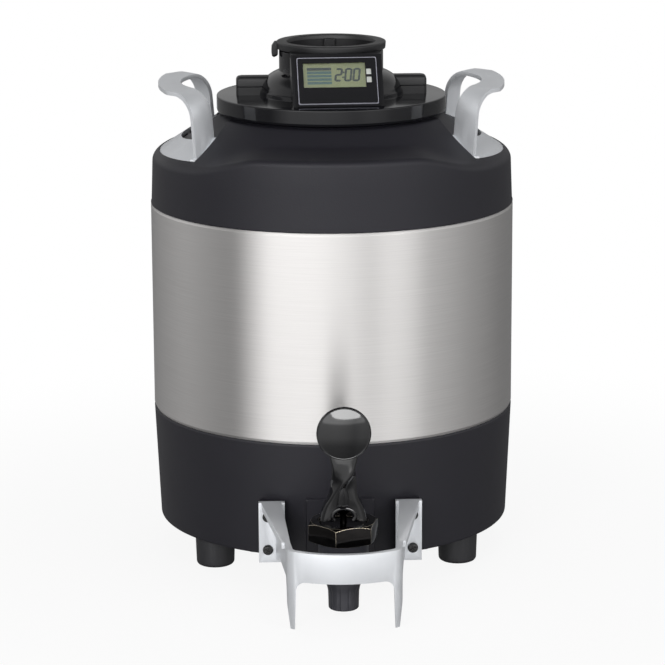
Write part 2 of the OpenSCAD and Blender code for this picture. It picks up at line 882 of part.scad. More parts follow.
// Coil spring between the seat cup and the bonnet's roof
module tap_spring() {
    sides = 6;
    rings = 12 * spring_turns;
    z0 = cup_z + cup_h + seat_gap + spring_wire / 2;
    z1 = bonnet_top - bonnet_roof - move_gap - spring_wire / 2;
    wire = spring_wire / 2;
    function ring_point(i, k) = let (
            a = 360 * spring_turns * i / rings,
            b = 360 * k / sides,
            r = spring_r + wire * cos(b)
        ) [r * cos(a), r * sin(a), z0 + (z1 - z0) * i / rings + wire * sin(b)];
    points = [for (i = [0 : rings]) for (k = [0 : sides - 1]) ring_point(i, k)];
    walls = [
        for (i = [0 : rings - 1]) for (k = [0 : sides - 1]) for (half = [0, 1])
            let (a = i * sides + k, b = i * sides + (k + 1) % sides)
            half == 0 ? [a, b, a + sides] : [b, b + sides, a + sides]
    ];
    first = [for (k = [1 : sides - 2]) [0, k + 1, k]];
    last = [for (k = [1 : sides - 2]) rings * sides * [1, 1, 1] + [0, k, k + 1]];
    color("silver") at_tap() polyhedron(points, concat(walls, first, last));
}

// Lever: its front and side outlines, both measured from the pivot
lever_bottom = -pivot_h + 1.5;
lever_deep = 8;
hip_half = 10.2;
hip_z = 8;
waist_half = 6.2;
waist_z = 21;
stalk_half = 9;
stalk_t = 4;
stalk_over = 6;
collar_t = 3;
knob_foot = knob_rise - knob_r;

module lever_front() {
    right = [
        [lever_half, lever_bottom], [lever_half - 1, 0], [hip_half, hip_z],
        [(hip_half + waist_half) / 2 - 0.8, (hip_z + waist_z) / 2], [waist_half, waist_z],
        [waist_half + 0.4, knob_foot - 4], [stalk_half, knob_foot + 2], [stalk_half, knob_rise + stalk_over]
    ];
    polygon(concat(right, reversed([for (p = right) [-p[0], p[1]]])));
}

module lever_side() {
    back_y = -knob_lean + seat_gap;
    front_y = -knob_lean - collar_t;
    stalk_top = knob_rise + stalk_over;
    polygon([
        [-lever_deep, lever_bottom], [-lever_deep - 1.2, hip_z], [-lever_deep - 2, waist_z - 3],
        [front_y, knob_foot - collar_t], [front_y, knob_foot - seat_gap], [back_y, knob_foot - seat_gap],
        [back_y, stalk_top], [back_y + stalk_t, stalk_top], [back_y + stalk_t + 1, knob_foot + 2],
        [-collar_t, waist_z + 1], [lever_deep / 2, hip_z + 4], [lever_deep, 2], [lever_deep, lever_bottom]
    ]);
}

module at_pivot() {
    at_tap() translate([0, 0, pivot_z]) children();
}

module tap_lever() {
    deep = 60;
    color([0.1, 0.1, 0.11]) at_pivot() difference() {
        intersection() {
            translate([0, deep / 2, 0]) rotate([90, 0, 0]) linear_extrude(deep) lever_front();
            translate([-deep / 2, 0, 0]) rotate([90, 0, 90]) linear_extrude(deep) lever_side();
        }
        translate([-slot_half, -deep / 2, lever_bottom - 1]) cube([2 * slot_half, deep, 2.5 - lever_bottom]);
        along_y(slot_half, -deep / 2, deep / 2, 1.5);
        translate([-deep / 2, 0, 0]) rotate([0, 90, 0]) cylinder(r = pin_r + seat_gap / 2, h = deep);
    }
}

module lever_pin() {
    pin_len = 2 * lever_half - 5;
    color("silver") at_pivot() translate([-pin_len / 2, 0, 0]) rotate([0, 90, 0])
        cylinder(r = pin_r, h = pin_len);
}

module tap_knob() {
    bevel = 1.2;
    color([0.05, 0.05, 0.05]) at_pivot() translate([0, -knob_lean, knob_rise]) rotate([90, 0, 0])
        rotate_extrude() polygon([
            [0, 0], [knob_r - 2, 0], [knob_r, 2], [knob_r, knob_t - bevel],
            [knob_r - bevel, knob_t], [0, knob_t]
        ]);
}

// Guard: a band in front of the tap on two arms, with two legs down to the floor
function guard_outline(inset, at_wall) = let (
        c = [0, -guard_front + guard_front_r],
        r = guard_front_r - inset,
        rc = guard_corner_r - inset,
        reach = guard_front_r - guard_corner_r,
        cx = guard_half - guard_corner_r,
        a = acos(cx / reach),
        k = [cx, c[1] - reach * sin(a)]
    ) concat(
        [[-at_wall, -flange_y + 1], [-guard_half + inset, k[1]]],
        arc([-k[0], k[1]], rc, 180, 180 + a, 6),
        arc(c, r, 180 + a, 360 - a, 16),
        arc(k, rc, -a, 0, 6),
        [[at_wall, -flange_y + 1]]
    );

module guard_front_view() {
    inner_top = guard_half - leg_top_w;
    inner_tip = guard_half - 2 - leg_tip_w;
    wide = flange_half + 1;
    polygon(concat(
        [[wide, guard_z - 14], [wide, guard_arm_top + 1], [-wide, guard_arm_top + 1], [-wide, guard_z - 14]],
        [[-guard_half, guard_z - 14], [-guard_half + 2, 0], [-inner_tip, 0]],
        arc([-inner_top + leg_fillet, guard_z - leg_fillet], leg_fillet, 180, 90, 5),
        arc([inner_top - leg_fillet, guard_z - leg_fillet], leg_fillet, 90, 0, 5),
        [[inner_tip, 0], [guard_half - 2, 0], [guard_half, guard_z - 14]]
    ));
}

module guard_side_view() {
    front = -guard_front - 1;
    polygon([
        [-flange_y + 2, flange_z0], [-flange_y - 30, guard_z], [front + 20, guard_z],
        [front + 17, guard_z - 6], [front + 12, 0], [front, 0], [front, guard_top],
        [front + 28, guard_top], [-flange_y - flange_t, guard_arm_top], [-flange_y + 2, guard_arm_top]
    ]);
}

module guard_rail_view() {
    front = -guard_front + 27;
    polygon([
        [front, guard_top - rail_t], [front, guard_top], [-flange_y - flange_t, guard_arm_top],
        [-flange_y + 2, guard_arm_top], [-flange_y + 2, guard_arm_top - rail_t],
        [-flange_y - flange_t, guard_arm_top - rail_t]
    ]);
}

module guard_ring(arm_out, arm_in) {
    linear_extrude(guard_arm_top) difference() {
        polygon(guard_outline(0, arm_out));
        polygon(guard_outline(guard_wall, arm_in));
    }
}

module tap_guard() {
    deep = 2 * guard_front + 20;
    wide = 2 * flange_half + 20;
    arm_out = flange_half - 0.5;
    arm_in = arm_out - arm_w;
    color("lightgray") at_axis() difference() {
        union() {
            intersection() {
                guard_ring(arm_in + guard_wall, arm_in);
                translate([0, deep / 2, 0]) rotate([90, 0, 0]) linear_extrude(deep) guard_front_view();
                translate([-wide / 2, 0, 0]) rotate([90, 0, 90]) linear_extrude(wide) guard_side_view();
            }
            intersection() {
                guard_ring(arm_out, arm_in);
                translate([-wide / 2, 0, 0]) rotate([90, 0, 90]) linear_extrude(wide) guard_rail_view();
            }
            for (side = [-1, 1])
                translate([side * flange_mid, -flange_y - flange_t / 2, flange_z0 + flange_h / 2])
                    cube([flange_half - flange_in, flange_t, flange_h], center = true);
        }
        translate([0, -flange_y - seat_gap, guard_arm_top / 2])
            translate([-wide / 2, 0, -guard_arm_top]) cube([wide, 20, 2 * guard_arm_top]);
        guard_holes(screw_r + seat_gap);
        guard_heads(head_r * 0.8 + seat_gap, head_room);
    }
}

// Room in front of the flange for the screw heads
module guard_heads(r, h) {
    for (side = [-1, 1])
        for (z = guard_screw_z)
            translate([side * guard_screw_x, 0, z])
                along_y(r, -flange_y - flange_t - h, -flange_y - flange_t, 0);
}

module guard_screws() {
    color([0.1, 0.1, 0.1]) at_axis() {
        guard_heads(head_r * 0.8, 1.8);
        for (side = [-1, 1])
            for (z = guard_screw_z)
                translate([side * guard_screw_x, 0, z])
                    along_y(screw_r, -flange_y - flange_t - 1, -flange_y + guard_screw_len, 0);
    }
}

// Lid
module lid_gasket() {
    color("dimgray") at_axis() translate([0, 0, gasket_z]) tube(gasket_out, gasket_out - gasket_in, gasket_t);
}

module wing(side) {
    corner = 4;
    outline = concat(
        [[collar_in + 1, lid_top - 1], [wing_reach, lid_top - 1]],
        arc([wing_reach - corner, lid_top + wing_h - corner], corner, 0, 90, 6),
        [[collar_in + 1, lid_top + wing_h]]
    );
    translate([0, wing_t / 2, 0]) rotate([90, 0, 0]) linear_extrude(wing_t)
        polygon([for (p = outline) [side * p[0], p[1]]]);
}

module display_block(gap) {
    wide = display_w + 2 * gap;
    translate([-wide / 2, 0, 0]) rotate([90, 0, 90]) linear_extrude(wide) polygon([
        [-face_foot - gap / cos(face_deg), face_z - gap],
        [-face_top_y - gap / cos(face_deg), face_top_z],
        [-display_back, face_top_z], [-display_back, face_z - gap]
    ]);
}

module lid_body() {
    edge = 1.6;
    lip_r = neck_r + 0.6;
    color([0.07, 0.07, 0.07]) at_axis() difference() {
        union() {
            difference() {
                union() {
                    rotate_extrude() polygon(concat(
                        [
                            [collar_in, lid_z], [lip_r, lid_z], [lip_r, lid_z - lip_drop],
                            [lid_r - edge, lid_z - lip_drop], [lid_r, lid_z - lip_drop + edge]
                        ],
                        [[lid_r, lid_top - edge], [lid_r - edge, lid_top], [dome_r, lid_top]],
                        [for (a = [15 : 15 : 75])
                            [collar_in + 1 + (dome_r - collar_in - 1) * cos(a), lid_top + dome_h * sin(a)]],
                        [[collar_in + 1, lid_top + dome_h], [collar_in, lid_top + dome_h]]
                    ));
                    wing(-1);
                    wing(1);
                }
                display_block(seat_gap);
            }
            translate([0, 0, lid_z]) tube(collar_r, collar_r - collar_in, collar_top - lid_z);
        }
        translate([0, 0, lid_z - 1]) cylinder(r = collar_in, h = collar_top - lid_z + 2);
    }
}

module lid_plug() {
    bottom = plug_top - plug_h;
    channel_r = tube_r + seat_gap;
    color([0.1, 0.1, 0.1]) at_axis() difference() {
        union() {
            translate([0, 0, bottom]) cylinder(r = plug_r, h = plug_h);
            translate([0, 0, lug_top - lug_h]) lug_sectors(plug_r - 1, lug_r, lug_h, lug_deg);
        }
        translate([0, 0, bottom - 1]) cylinder(r = channel_r, h = plug_h + 2);
    }
}

module mixing_tube() {
    flange_t2 = 1.6;
    top = plug_top - plug_h;
    color("gainsboro") at_axis() difference() {
        union() {
            translate([0, 0, top - tube_len]) cylinder(r = tube_r, h = tube_len + plug_h);
            translate([0, 0, top - flange_t2 - seat_gap]) cylinder(r = tube_r + 5, h = flange_t2);
        }
        translate([0, 0, top - tube_len - 1]) cylinder(r = tube_r - 1.2, h = tube_len + plug_h + 2);
    }
}

// Display, on a sloping face in front of the collar
module on_face() {
    at_axis() translate([0, -face_foot, face_z]) rotate([-face_deg, 0, 0]) children();
}

// Block under the face, given by its middle, its width and height, and its two depths
module facing(x, mid, w, h, depth, back) {
    translate([x - w / 2, depth, mid - h / 2]) cube([w, back - depth, h]);
}

module display_housing() {
    inside_w = display_w - 2 * display_wall;
    recess_w = window_w + 2 * seat_gap;
    recess_h = window_h + 2 * seat_gap;
    color([0.06, 0.06, 0.06]) difference() {
        at_axis() difference() {
            display_block(0);
            translate([0, 0, lid_z]) cylinder(r = collar_r + seat_gap, h = collar_top);
            translate([0, 0, collar_top - move_gap]) cylinder(r = rim_r + move_gap, h = rim_h);
        }
        on_face() {
            facing(0, board_mid, inside_w, board_h + 2 * seat_gap, lcd_depth - 0.2, cell_depth + cell_t + 1);
            facing(0, window_mid, recess_w, recess_h, -1, window_t + window_sink);
            facing(0, board_mid, window_w - 2 * window_frame, board_h - 2, 0, lcd_depth);
        }
    }
}

module display_window() {
    color([0.5, 0.55, 0.55, 0.5]) on_face()
        facing(0, window_mid, window_w, window_h, window_sink, window_t + window_sink - seat_gap);
}

module lcd_panel() {
    color([0.6, 0.63, 0.4]) on_face() facing(lcd_x, lcd_mid, lcd_w, lcd_h, lcd_depth, lcd_depth + lcd_t);
}

module indicator_lights() {
    color("white") on_face()
        for (mid = light_mids) facing(light_x, mid, light_w, light_h, lcd_depth, board_depth - seat_gap);
}

module display_board() {
    board_w = display_w - 2 * display_wall - 2 * seat_gap;
    color("darkgreen") on_face() facing(0, board_mid, board_w, board_h, board_depth, board_depth + board_t);
}

module battery_cell() {
    color("silver") on_face() translate([0, cell_depth, board_low + cell_r + move_gap]) rotate([-90, 0, 0])
        cylinder(r = cell_r, h = cell_t);
}

// Funnel that drops into the collar, with its rolled rim, lift tab and inner rib
module brew_funnel() {
    rim_z = collar_top + move_gap;
    rim_top = collar_top + rim_h;
    roll = 2;
    tab_out = 4;
    tab_w = 8;
    tab_h = 9;
    tab_t = 3;
    rib_w = 7;
    rib_t = 1.6;
    in_r = funnel_r - funnel_wall;
    cone_z = funnel_floor + 10;
    tip_z = funnel_floor - throat_h;
    color([0.1, 0.1, 0.1]) at_axis() union() {
        rotate_extrude() polygon(concat(
            [[outlet_r, tip_z], [throat_r, tip_z], [throat_r, funnel_floor - 2], [funnel_r, cone_z - 2]],
            [[funnel_r, rim_z], [rim_r - 0.8, rim_z]],
            arc([rim_r - roll, rim_top - roll], roll, 0, 90, 5),
            [[in_r + 0.6, rim_top], [in_r, rim_top - 1], [in_r, cone_z], [outlet_r, funnel_floor]]
        ));
        translate([-rim_r - tab_out, -tab_w / 2, rim_top - roll / 2 - tab_h]) difference() {
            cube([tab_out + roll, tab_w, tab_h]);
            translate([tab_t, -1, -1])
                cube([tab_out + roll, tab_w + 2, tab_h + 1 + rim_z - rim_top + roll / 2]);
        }
        translate([-rib_w / 2, in_r - rib_t, cone_z])
            cube([rib_w, rib_t + funnel_wall / 2, rim_top - cone_z - roll / 2]);
    }
}

outer_shell();
inner_tank();
base_cover();
bottom_plate();
bottom_screws();
foot([-1, -1]);  // foot_front_left
foot([1, -1]);  // foot_front_right
foot([-1, 1]);  // foot_rear_left
foot([1, 1]);  // foot_rear_right
foot_screws();
top_cover();
neck_ring();
left_handle();
right_handle();
handle_screws();
drain_elbow();
drain_clamps();
tap_shank();
shank_washer();
shank_nut();
tap_body();
tap_bonnet();
tap_spout();
tap_stem();
seat_cup();
tap_spring();
tap_lever();
lever_pin();
tap_knob();
tap_guard();
guard_screws();
lid_gasket();
lid_body();
lid_plug();
mixing_tube();
display_housing();
display_window();
lcd_panel();
indicator_lights();
display_board();
battery_cell();
brew_funnel();
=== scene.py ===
import json
from math import atan2, copysign, cos, hypot, pi, radians, sin, sqrt, tan

import bmesh
import bpy
from mathutils import Matrix, Vector

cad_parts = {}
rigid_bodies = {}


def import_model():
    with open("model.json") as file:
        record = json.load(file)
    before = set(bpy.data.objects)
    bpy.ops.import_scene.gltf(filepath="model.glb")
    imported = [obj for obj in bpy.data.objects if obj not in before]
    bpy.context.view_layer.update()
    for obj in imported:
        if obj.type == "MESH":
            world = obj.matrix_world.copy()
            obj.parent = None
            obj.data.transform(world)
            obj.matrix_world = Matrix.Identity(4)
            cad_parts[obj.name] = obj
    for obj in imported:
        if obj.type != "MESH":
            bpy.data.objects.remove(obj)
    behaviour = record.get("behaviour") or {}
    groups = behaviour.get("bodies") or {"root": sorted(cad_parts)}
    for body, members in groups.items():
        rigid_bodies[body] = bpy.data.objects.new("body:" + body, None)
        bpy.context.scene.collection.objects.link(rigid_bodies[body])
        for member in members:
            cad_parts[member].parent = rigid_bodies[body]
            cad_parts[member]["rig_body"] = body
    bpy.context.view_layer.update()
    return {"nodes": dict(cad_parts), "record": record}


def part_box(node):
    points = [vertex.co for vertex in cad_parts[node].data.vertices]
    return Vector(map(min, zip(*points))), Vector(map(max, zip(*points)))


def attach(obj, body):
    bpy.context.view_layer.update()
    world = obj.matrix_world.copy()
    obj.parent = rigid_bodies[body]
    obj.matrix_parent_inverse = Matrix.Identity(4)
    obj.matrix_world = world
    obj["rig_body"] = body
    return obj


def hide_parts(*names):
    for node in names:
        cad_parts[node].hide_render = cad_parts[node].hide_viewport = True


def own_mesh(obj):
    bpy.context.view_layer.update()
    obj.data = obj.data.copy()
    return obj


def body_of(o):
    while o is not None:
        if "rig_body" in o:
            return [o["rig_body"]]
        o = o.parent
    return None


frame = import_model()
scene = bpy.context.scene
scene.view_settings.view_transform = "Standard"
nodes = frame["nodes"]
mm = 0.001

bandLow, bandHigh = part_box("outer_shell")
bodyR = (bandHigh.x - bandLow.x) / 2
axisY = (bandLow.y + bandHigh.y) / 2  # the body stands on this line
bodyAxis = Vector((0, axisY, 0))
stemLow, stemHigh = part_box("tap_stem")
tapY = (stemLow.y + stemHigh.y) / 2
pinLow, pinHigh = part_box("lever_pin")
pivot = Vector((0, tapY, (pinLow.z + pinHigh.z) / 2))
print("frame loaded:", len(nodes), "nodes")


def newObject(name, data):
    made = bpy.data.objects.new(name, data)
    scene.collection.objects.link(made)
    return made


# Camera at the photograph's angle
shot = {"lens": 157.9, "away": 1.878, "up": 13.28, "round": -2.1, "roll": -0.3, "aimHeight": 0.1372}


def setCamera(d):
    up, turn = radians(d["up"]), radians(d["round"])
    back = Vector((sin(turn) * cos(up), -cos(turn) * cos(up), sin(up)))
    lensData = bpy.data.cameras.new("photoCamera")
    lensData.lens = d["lens"]
    lensData.clip_start = 0.05
    lensData.clip_end = 60
    camera = newObject("photoCamera", lensData)
    camera.location = bodyAxis + Vector((0, 0, d["aimHeight"])) + back * d["away"]
    camera.rotation_mode = "QUATERNION"
    roll = Matrix.Rotation(radians(d["roll"]), 4, "Z").to_quaternion()
    camera.rotation_quaternion = (-back).to_track_quat("-Z", "Y") @ roll
    scene.camera = camera


setCamera(shot)

# Studio: pale floor, soft lamps, and a surround that shiny surfaces mirror
studio = {
    "ambient": 0.30, "floorReach": 9.0, "floorSides": 96, "floorDrop": 0.0002, "floorWhite": 0.9,
    "floorGlow": 0.90, "fade": (0.18, 0.55),  # a soft shadow shows near the foot and fades out
    # bearing seen from the object (0 at the tap, + to the right) and brightness: a left card, a right card
    "surround": [
        (-180, 0.25), (-110, 0.55), (-65, 0.4), (-43, 1.8), (-10, 1.8), (5, 1.6), (22, 1.2), (36, 1.5),
        (50, 1.3), (60, 0.85), (95, 0.5), (130, 0.3), (180, 0.25),
    ],
    # height of the direction (-1 straight down, 1 straight up) and its share of that brightness
    "rise": [
        (-1, 0.20), (-0.60, 0.34), (-0.36, 0.74), (-0.08, 0.86), (0.06, 0.95), (0.12, 2.2), (0.30, 2.2),
        (0.57, 2.0), (0.70, 0.50), (1, 0.26),
    ],
}
lamps = {
    "keyLamp": {"at": (-0.95, -2.2, 0.95), "size": (1.3, 1.3), "power": 24},
    "fillLamp": {"at": (1.55, -1.75, 0.75), "size": (1.1, 1.1), "power": 11},
    "topLamp": {"at": (0.2, 0.2, 2.3), "size": (1.4, 1.4), "power": 9},
}
lampAim = 0.15  # height on the body's axis


def addNode(tree, kind, **settings):
    node = tree.nodes.new(kind)
    for key, value in settings.items():
        setattr(node, key, value)
    return node


def fill(node, values):
    for key, value in values.items():
        node.inputs[key].default_value = value


def stops(tree, value, points):
    low, high = points[0][0], points[-1][0]
    most = max(level for place, level in points)
    share = addNode(tree, "ShaderNodeMapRange")
    fill(share, {"From Min": low, "From Max": high})
    curve = addNode(tree, "ShaderNodeFloatCurve")
    line = curve.mapping.curves[0]
    line.points[0].location = (0, points[0][1] / most)
    line.points[1].location = (1, points[-1][1] / most)
    for place, level in points[1:-1]:
        line.points.new((place - low) / (high - low), level / most)
    for point in line.points:
        point.handle_type = "VECTOR"
    curve.mapping.update()
    scaled = addNode(tree, "ShaderNodeMath", operation="MULTIPLY")
    fill(scaled, {1: most})
    tree.links.new(value, share.inputs["Value"])
    tree.links.new(share.outputs[0], curve.inputs["Value"])
    tree.links.new(curve.outputs[0], scaled.inputs[0])
    return scaled.outputs[0]


def seenPlainly(tree, path):
    seen = addNode(tree, "ShaderNodeMath", operation="MAXIMUM")
    tree.links.new(path.outputs["Is Camera Ray"], seen.inputs[0])
    tree.links.new(path.outputs["Is Transmission Ray"], seen.inputs[1])
    return seen.outputs[0]


def setWorld(d):
    world = bpy.data.worlds.new("studioWorld")
    scene.world = world
    world.use_nodes = True
    tree = world.node_tree
    link = tree.links.new
    lit = tree.nodes["Background"]
    fill(lit, {"Color": (1, 1, 1, 1), "Strength": d["ambient"]})
    path = addNode(tree, "ShaderNodeLightPath")
    coords = addNode(tree, "ShaderNodeTexCoord")
    parts = addNode(tree, "ShaderNodeSeparateXYZ")
    flip = addNode(tree, "ShaderNodeMath", operation="MULTIPLY")
    fill(flip, {1: -1})
    bearing = addNode(tree, "ShaderNodeMath", operation="ARCTAN2")
    link(coords.outputs["Generated"], parts.inputs[0])
    link(parts.outputs["Y"], flip.inputs[0])
    link(parts.outputs["X"], bearing.inputs[0])
    link(flip.outputs[0], bearing.inputs[1])
    bands = stops(tree, bearing.outputs[0], [(radians(a), b) for a, b in d["surround"]])
    heights = stops(tree, parts.outputs["Z"], d["rise"])
    level = addNode(tree, "ShaderNodeMath", operation="MULTIPLY")
    mirrored = addNode(tree, "ShaderNodeBackground")
    white = addNode(tree, "ShaderNodeBackground")
    fill(white, {"Color": (1, 1, 1, 1)})
    first = addNode(tree, "ShaderNodeMixShader")
    second = addNode(tree, "ShaderNodeMixShader")
    link(bands, level.inputs[0])
    link(heights, level.inputs[1])
    link(level.outputs[0], mirrored.inputs["Strength"])
    link(path.outputs["Is Glossy Ray"], first.inputs["Fac"])
    link(lit.outputs[0], first.inputs[1])
    link(mirrored.outputs[0], first.inputs[2])
    link(seenPlainly(tree, path), second.inputs["Fac"])
    link(first.outputs[0], second.inputs[1])
    link(white.outputs[0], second.inputs[2])
    link(second.outputs[0], tree.nodes["World Output"].inputs["Surface"])


def floorFinish(d):
    finish = bpy.data.materials.new("paleFloor")
    finish.use_nodes = True
    tree = finish.node_tree
    link = tree.links.new
    tree.nodes.clear()
    output = addNode(tree, "ShaderNodeOutputMaterial")
    matte = addNode(tree, "ShaderNodeBsdfDiffuse")
    fill(matte, {"Color": (d["floorWhite"], d["floorWhite"], d["floorWhite"], 1)})
    glow = addNode(tree, "ShaderNodeEmission")
    path = addNode(tree, "ShaderNodeLightPath")
    coords = addNode(tree, "ShaderNodeTexCoord")
    away = addNode(tree, "ShaderNodeVectorMath", operation="LENGTH")
    fade = addNode(tree, "ShaderNodeMapRange", interpolation_type="SMOOTHSTEP")
    fill(fade, {"From Min": d["fade"][0], "From Max": d["fade"][1], "To Min": d["floorGlow"]})
    share = addNode(tree, "ShaderNodeMath", operation="MULTIPLY")
    mix = addNode(tree, "ShaderNodeMixShader")
    link(coords.outputs["Object"], away.inputs[0])
    link(away.outputs["Value"], fade.inputs["Value"])
    link(fade.outputs[0], share.inputs[0])
    link(seenPlainly(tree, path), share.inputs[1])
    link(share.outputs[0], mix.inputs["Fac"])
    link(matte.outputs[0], mix.inputs[1])
    link(glow.outputs[0], mix.inputs[2])
    link(mix.outputs[0], output.inputs["Surface"])
    return finish


def setFloor(d):
    mesh = bpy.data.meshes.new("paleFloor")
    bm = bmesh.new()
    bmesh.ops.create_circle(bm, cap_ends=True, segments=d["floorSides"], radius=d["floorReach"])
    bm.to_mesh(mesh)
    bm.free()
    mesh.materials.append(floorFinish(d))
    floor = newObject("paleFloor", mesh)
    floor.location.z = -d["floorDrop"]
    floor.visible_glossy = False  # shiny sides mirror the surround instead


def areaLamp(name, d, target):
    data = bpy.data.lights.new(name, "AREA")
    data.size, data.size_y = d["size"]
    data.shape = "DISK" if data.size == data.size_y else "ELLIPSE"
    data.energy = d["power"]
    lamp = newObject(name, data)
    lamp.location = Vector(d["at"]) + bodyAxis
    lamp.rotation_euler = (target - lamp.location).to_track_quat("-Z", "Y").to_euler()
    lamp.visible_camera = False
    return lamp


setWorld(studio)
setFloor(studio)
for name, d in lamps.items():
    lamp = areaLamp(name, d, bodyAxis + Vector((0, 0, lampAim)))
    lamp.visible_glossy = False  # shiny surfaces mirror the surround alone
print("studio set")


# Finishes
def newFinish(name):
    finish = bpy.data.materials.new(name)
    finish.use_nodes = True
    return finish, finish.node_tree, finish.node_tree.nodes["Principled BSDF"]


def grain(tree, size, stretch=(1, 1, 1), detail=3.0):
    coords = addNode(tree, "ShaderNodeTexCoord")
    mapping = addNode(tree, "ShaderNodeMapping")
    fill(mapping, {"Scale": stretch})
    noise = addNode(tree, "ShaderNodeTexNoise")
    fill(noise, {"Scale": 1 / size, "Detail": detail})
    tree.links.new(coords.outputs["Object"], mapping.inputs["Vector"])
    tree.links.new(mapping.outputs[0], noise.inputs["Vector"])
    return noise.outputs["Fac"]


def tint(tree, shader, fac, dark, light):
    mix = addNode(tree, "ShaderNodeMix", data_type="RGBA")
    colours = [s for s in mix.inputs if s.type == "RGBA"]
    colours[0].default_value = (*dark, 1)
    colours[1].default_value = (*light, 1)
    tree.links.new(fac, mix.inputs["Factor"])
    result = [s for s in mix.outputs if s.type == "RGBA"][0]
    tree.links.new(result, shader.inputs["Base Color"])


def vary(tree, socket, fac, low, high):
    span = addNode(tree, "ShaderNodeMapRange")
    fill(span, {"From Min": 0.3, "From Max": 0.7, "To Min": low, "To Max": high})  # the noise's usual range
    tree.links.new(fac, span.inputs["Value"])
    tree.links.new(span.outputs[0], socket)


def relief(tree, shader, fac, depth):
    bump = addNode(tree, "ShaderNodeBump")
    fill(bump, {"Strength": 1, "Distance": depth})
    tree.links.new(fac, bump.inputs["Height"])
    tree.links.new(bump.outputs[0], shader.inputs["Normal"])


def metalFinish(name, d):
    finish, tree, shader = newFinish(name)
    lines = grain(tree, d["line"], d["stretch"], 4)
    fill(shader, {"Metallic": 1})
    tint(tree, shader, lines, d["dark"], d["light"])
    vary(tree, shader.inputs["Roughness"], lines, *d["rough"])
    relief(tree, shader, lines, d["depth"])
    if d.get("brushed"):
        fill(shader, {"Anisotropic": d["brushed"], "Anisotropic Rotation": 0.25})  # a quarter turn
        tangent = addNode(tree, "ShaderNodeTangent", direction_type="RADIAL", axis="Z")
        tree.links.new(tangent.outputs[0], shader.inputs["Tangent"])
    return finish


def mouldedFinish(name, d):
    finish, tree, shader = newFinish(name)
    cloud = grain(tree, d["cloud"])
    pores = grain(tree, d["pore"], detail=1.5)
    tint(tree, shader, cloud, d["dark"], d["light"])
    vary(tree, shader.inputs["Roughness"], cloud, *d["rough"])
    relief(tree, shader, pores, d["depth"])
    fill(shader, {"Specular IOR Level": d.get("shine", 0.5), "Metallic": d.get("metal", 0)})
    return finish


def windowFinish(name, d):
    finish, tree, shader = newFinish(name)
    fill(shader, {"Transmission Weight": 1, "IOR": d["ior"]})
    haze = grain(tree, d["haze"])
    vary(tree, shader.inputs["Roughness"], haze, *d["rough"])
    tint(tree, shader, haze, d["dark"], d["light"])
    return finish


metals = {
    "brushed_band": {
        "dark": (0.63, 0.615, 0.605), "light": (0.79, 0.775, 0.765), "line": 0.04, "stretch": (1, 1, 110),
        "rough": (0.34, 0.42), "depth": 1e-5, "brushed": 0.96,
    },
    "plain_steel": {
        "dark": (0.54, 0.54, 0.54), "light": (0.68, 0.68, 0.68), "line": 0.004, "stretch": (1, 1, 8),
        "rough": (0.28, 0.4), "depth": 1e-5,
    },
    "brass_nut": {
        "dark": (0.60, 0.44, 0.20), "light": (0.76, 0.60, 0.32), "line": 0.003, "stretch": (1, 6, 1),
        "rough": (0.25, 0.38), "depth": 1e-5,
    },
    # painted highlight: a warm bronze colour on the bonnet's bevelled edges stands in for glints
    "rubbed_bronze": {
        "dark": (0.34, 0.29, 0.21), "light": (0.70, 0.62, 0.50), "line": 0.004, "stretch": (1, 1, 1),
        "rough": (0.22, 0.34), "depth": 6e-6,
    },
    "bonnet_black": {
        "dark": (0.014, 0.0135, 0.014), "light": (0.028, 0.026, 0.025), "line": 0.006, "stretch": (1, 1, 3),
        "rough": (0.10, 0.17), "depth": 6e-6,
    },
}
